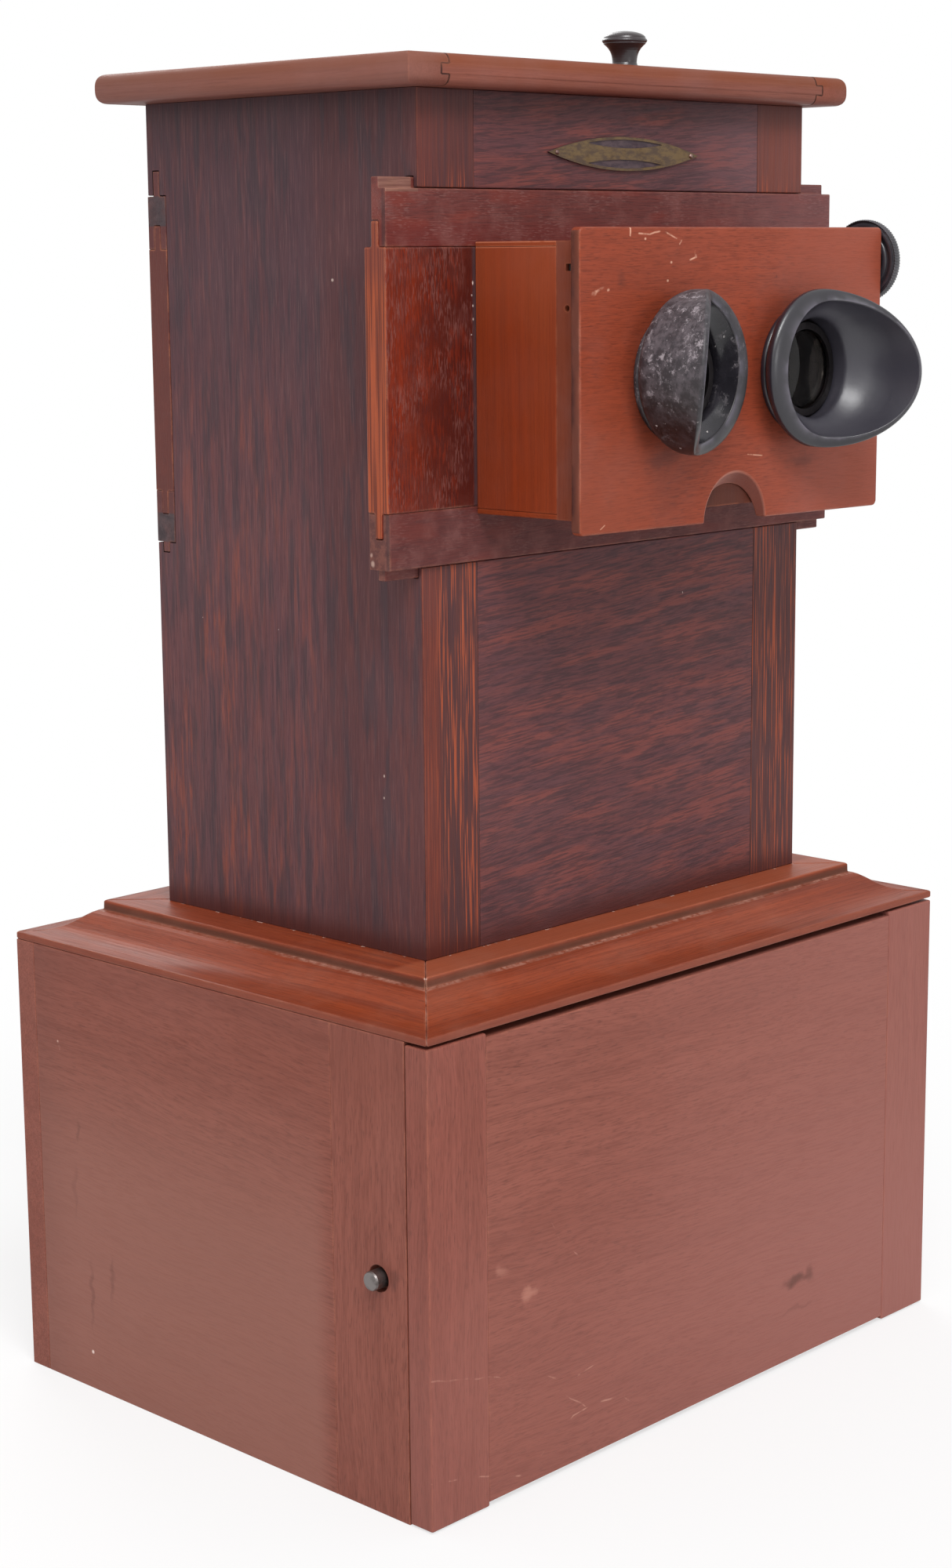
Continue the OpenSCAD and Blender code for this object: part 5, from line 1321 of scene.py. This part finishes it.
# %% [markdown]
# ## Metal
#
# Brass that nobody polishes goes brown and keeps its colour only on the
# edges. The lens cells were blackened by their maker. The name plate has a
# rubbed band of bare brass between two dark sunk fields; the fields are told
# apart by how deep they lie.

# %% Metals
PLATE_TOP, FIELD_DEPTH = TOWER_FACE - 0.9 * MM, 0.35 * MM


def metal(name, bright, dull, rough, tarnish=1.0, marks=None):
    """Metal with dull patches; marks may paint it anew and say how metallic it is."""
    made, p = new_material(name, Paint)
    patch = p.math("MULTIPLY", p.haze(0.006, 1.0, 3.0), tarnish, clamp=True)
    p.colour = p.mix(patch, bright, dull)
    p.lay(bright, p.worn(0.0006, 0.5, 0.004))
    metallic = marks(p) if marks else 1.0
    p.surface({"Base Color": p.colour, "Metallic": metallic, "Specular IOR Level": 0.25,
               "Roughness": p.math("ADD", rough, p.times(patch, 0.3), clamp=True)})
    return made


def plate_marks(p):
    field = p.above(p.parts[1], PLATE_TOP + FIELD_DEPTH / 2)
    rubbed = p.noise(p.vector("MULTIPLY", p.at, (160, 160, 420)), detail=4.0, roughness=0.7)
    rubbed = p.ramp(rubbed, 0.4, 0.62)
    enamel = p.mix(rubbed, (56, 42, 50), (80, 64, 68))
    band = p.mix(rubbed, (108, 88, 60), (82, 66, 54))
    p.colour = p.mix(field, p.mix(p.worn(0.0008, 0.6, 0.003), band, (84, 62, 44)), enamel)
    return p.times(p.math("SUBTRACT", 1.0, field), 0.35)


old_brass = metal("old brass", (126, 94, 60), (84, 62, 44), 0.42, 1.2)
pin_metal = metal("dull pin", (150, 124, 116), (96, 78, 74), 0.42)
dress(old_brass, "lid_hinge_fixed_leaves", "lid_hinge_moving_leaves", "door_hinge_fixed_leaves",
      "door_hinge_moving_leaves", "door_catch_tongue", "catch_plate", "focus_racks")
dress(metal("rubbed name plate", (150, 124, 66), (100, 80, 50), 0.42, marks=plate_marks), "name_plate")
dress(metal("blackened lens cell", (62, 58, 60), (34, 31, 33), 0.4), "lens_cells")
dress(metal("old steel", (128, 122, 120), (66, 58, 56), 0.4, 1.1), "focus_shaft", "door_button")

# %% [markdown]
# ## Glass
#
# The lenses and the slides are clear; the pane at the back is ground, so it
# glows evenly. A faint smear keeps the slides and the pane from looking like
# computer glass.

# %% Glass materials
def glass(name, tint, rough, clear=1.0, bend=1.5, smeared=0.1):
    made, p = new_material(name, Paint)
    smear = p.haze(0.01, smeared, 4.0)
    p.surface({"Base Color": p.mix(smear, tint, (190, 190, 186)), "Roughness": p.math("ADD", rough, smear),
               "Transmission Weight": clear, "IOR": bend})
    return made


dress(glass("lens glass", (214, 198, 186), 0.02, bend=1.3, smeared=0.0), "lenses")
dress(glass("ground glass pane", (226, 232, 230), 0.5, 0.55), "ground_glass")
dress(glass("slide glass", (150, 146, 138), 0.1, 0.85), "glass_slide", "stored_slides")

# %% [markdown]
# ## Pins and screws
#
# The name plate is held by two round-headed pins, and the lid's hinges show
# slotted screws. A pin is a small dome turned from a profile. A screw head is
# a dish with two raised halves, so the slot between them is real and catches
# the light.

# %% Small fasteners
HEAD_STEPS, HEAD_RINGS = 32, 6
PIN_DOME, SCREW_DOME, SLOT_HALF, DISH = 0.75, 0.14, 0.16, 0.96


def fastener(name, material, place, outward, radius, slotted=False, spin=0.0):
    """A round head on a surface: place is on the surface, outward its direction."""
    work = bmesh.new()
    for half in (1, -1) if slotted else (0,):
        rows = []
        for ring in range(HEAD_RINGS + 1):
            lift = radius * (SCREW_DOME if slotted else PIN_DOME) * math.sin(quarter(ring, HEAD_RINGS))
            row = []
            for x, y in circle(radius * math.cos(quarter(ring, HEAD_RINGS)), HEAD_STEPS):
                if half:
                    x = half * max(half * x, SLOT_HALF * radius)
                row.append(work.verts.new((x, y, lift)))
            rows.append(row)
        rows.insert(0, [work.verts.new((v.co.x, v.co.y, -0.3 * MM)) for v in rows[0]])
        bridge(work, rows)
        work.faces.new(rows[0][::-1])
        work.faces.new(rows[-1])
    if slotted:
        bmesh.ops.create_circle(work, cap_ends=True, segments=HEAD_STEPS, radius=radius * DISH,
                                matrix=Matrix.Translation((0, 0, -0.1 * MM)))
    bmesh.ops.remove_doubles(work, verts=work.verts, dist=1e-7)
    bmesh.ops.dissolve_degenerate(work, edges=work.edges, dist=1e-7)
    turned = Vector(outward).to_track_quat("Z", "Y").to_matrix().to_4x4() @ Matrix.Rotation(spin, 4, "Z")
    work.transform(Matrix.Translation(place) @ turned)
    new_piece(mesh_of(work, name), material, "cabinet_and_tower")


# %% Name plate pins
PIN_X, PIN_R = 34.5 * MM, 0.85 * MM
plate_low, plate_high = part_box("name_plate")
plate_z = (plate_low.z + plate_high.z) / 2
for side, label in ((-1, "left"), (1, "right")):
    fastener("name_plate_pin_" + label, pin_metal, (side * PIN_X, PLATE_TOP, plate_z), (0, -1, 0), PIN_R)

# %% Lid hinge screws
leaf_low, leaf_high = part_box("lid_hinge_fixed_leaves")
HINGE_LENGTH, SCREW_R, SCREW_STEP = 30 * MM, 1.7 * MM, 10 * MM
LEAF_FACE, SCREW_UP = 1.2 * MM, 6 * MM
count = 0
for side in (-1, 1):
    hinge_x = side * (leaf_high.x - HINGE_LENGTH / 2)
    for number in (1, 2, 3):
        fastener("lid_hinge_screw_%d_%d" % (side + 2, number), old_brass,
                 (hinge_x + (number - 2) * SCREW_STEP, leaf_low.y + LEAF_FACE, leaf_low.z + SCREW_UP),
                 (0, 1, 0), SCREW_R, True, 0.7 * count)
        count += 1

# %% [markdown]
# ## Softened arrises
#
# No joiner leaves a knife edge. A bevel of a few tenths of a millimetre turns
# each arris into a line of light and lets the seams between boards show. The
# solids arrive as triangles, so they are first welded and their flat faces
# joined, all with modifiers, which leave the solids themselves untouched.

# %% Bevels
def soften(width, pieces, segments=2):
    for piece in pieces:
        piece = nodes.get(piece, piece)
        weld = piece.modifiers.new("weld", "WELD")
        weld.merge_threshold = 0.00001
        flat = piece.modifiers.new("flat faces", "DECIMATE")
        flat.decimate_type = "DISSOLVE"
        flat.angle_limit = math.radians(0.5)
        bevel = piece.modifiers.new("arris", "BEVEL")
        bevel.width = width
        bevel.segments = segments
        bevel.limit_method = "ANGLE"
        bevel.angle_limit = math.radians(35)
        bevel.miter_outer = "MITER_ARC"


soften(0.35 * MM, ["tower_left_side", "tower_right_side", "upper_front_board", "lower_front_board",
                   "upper_front_stiles", "lower_front_stiles", "upper_back_board", "lower_back_board",
                   "cabinet_side_panels", "cabinet_side_stiles", "cabinet_back", "door_panel", "lens_box_sides",
                   "lens_box_boards", "lens_box_collar", "rear_panel_rails", "rear_panel_stiles"])
soften(0.6 * MM, ["door_stiles", "lens_panel_top_rail", "lens_panel_bottom_rail", "lens_panel_boards",
                  "moulding_front", "moulding_back", "moulding_sides", "slide_boxes"])
soften(0.7 * MM, [notched_board], segments=3)
soften(0.3 * MM, lid_parts)
print("bevelled", sum(any(m.type == "BEVEL" for m in o.modifiers) for o in nodes.values()), "nodes")
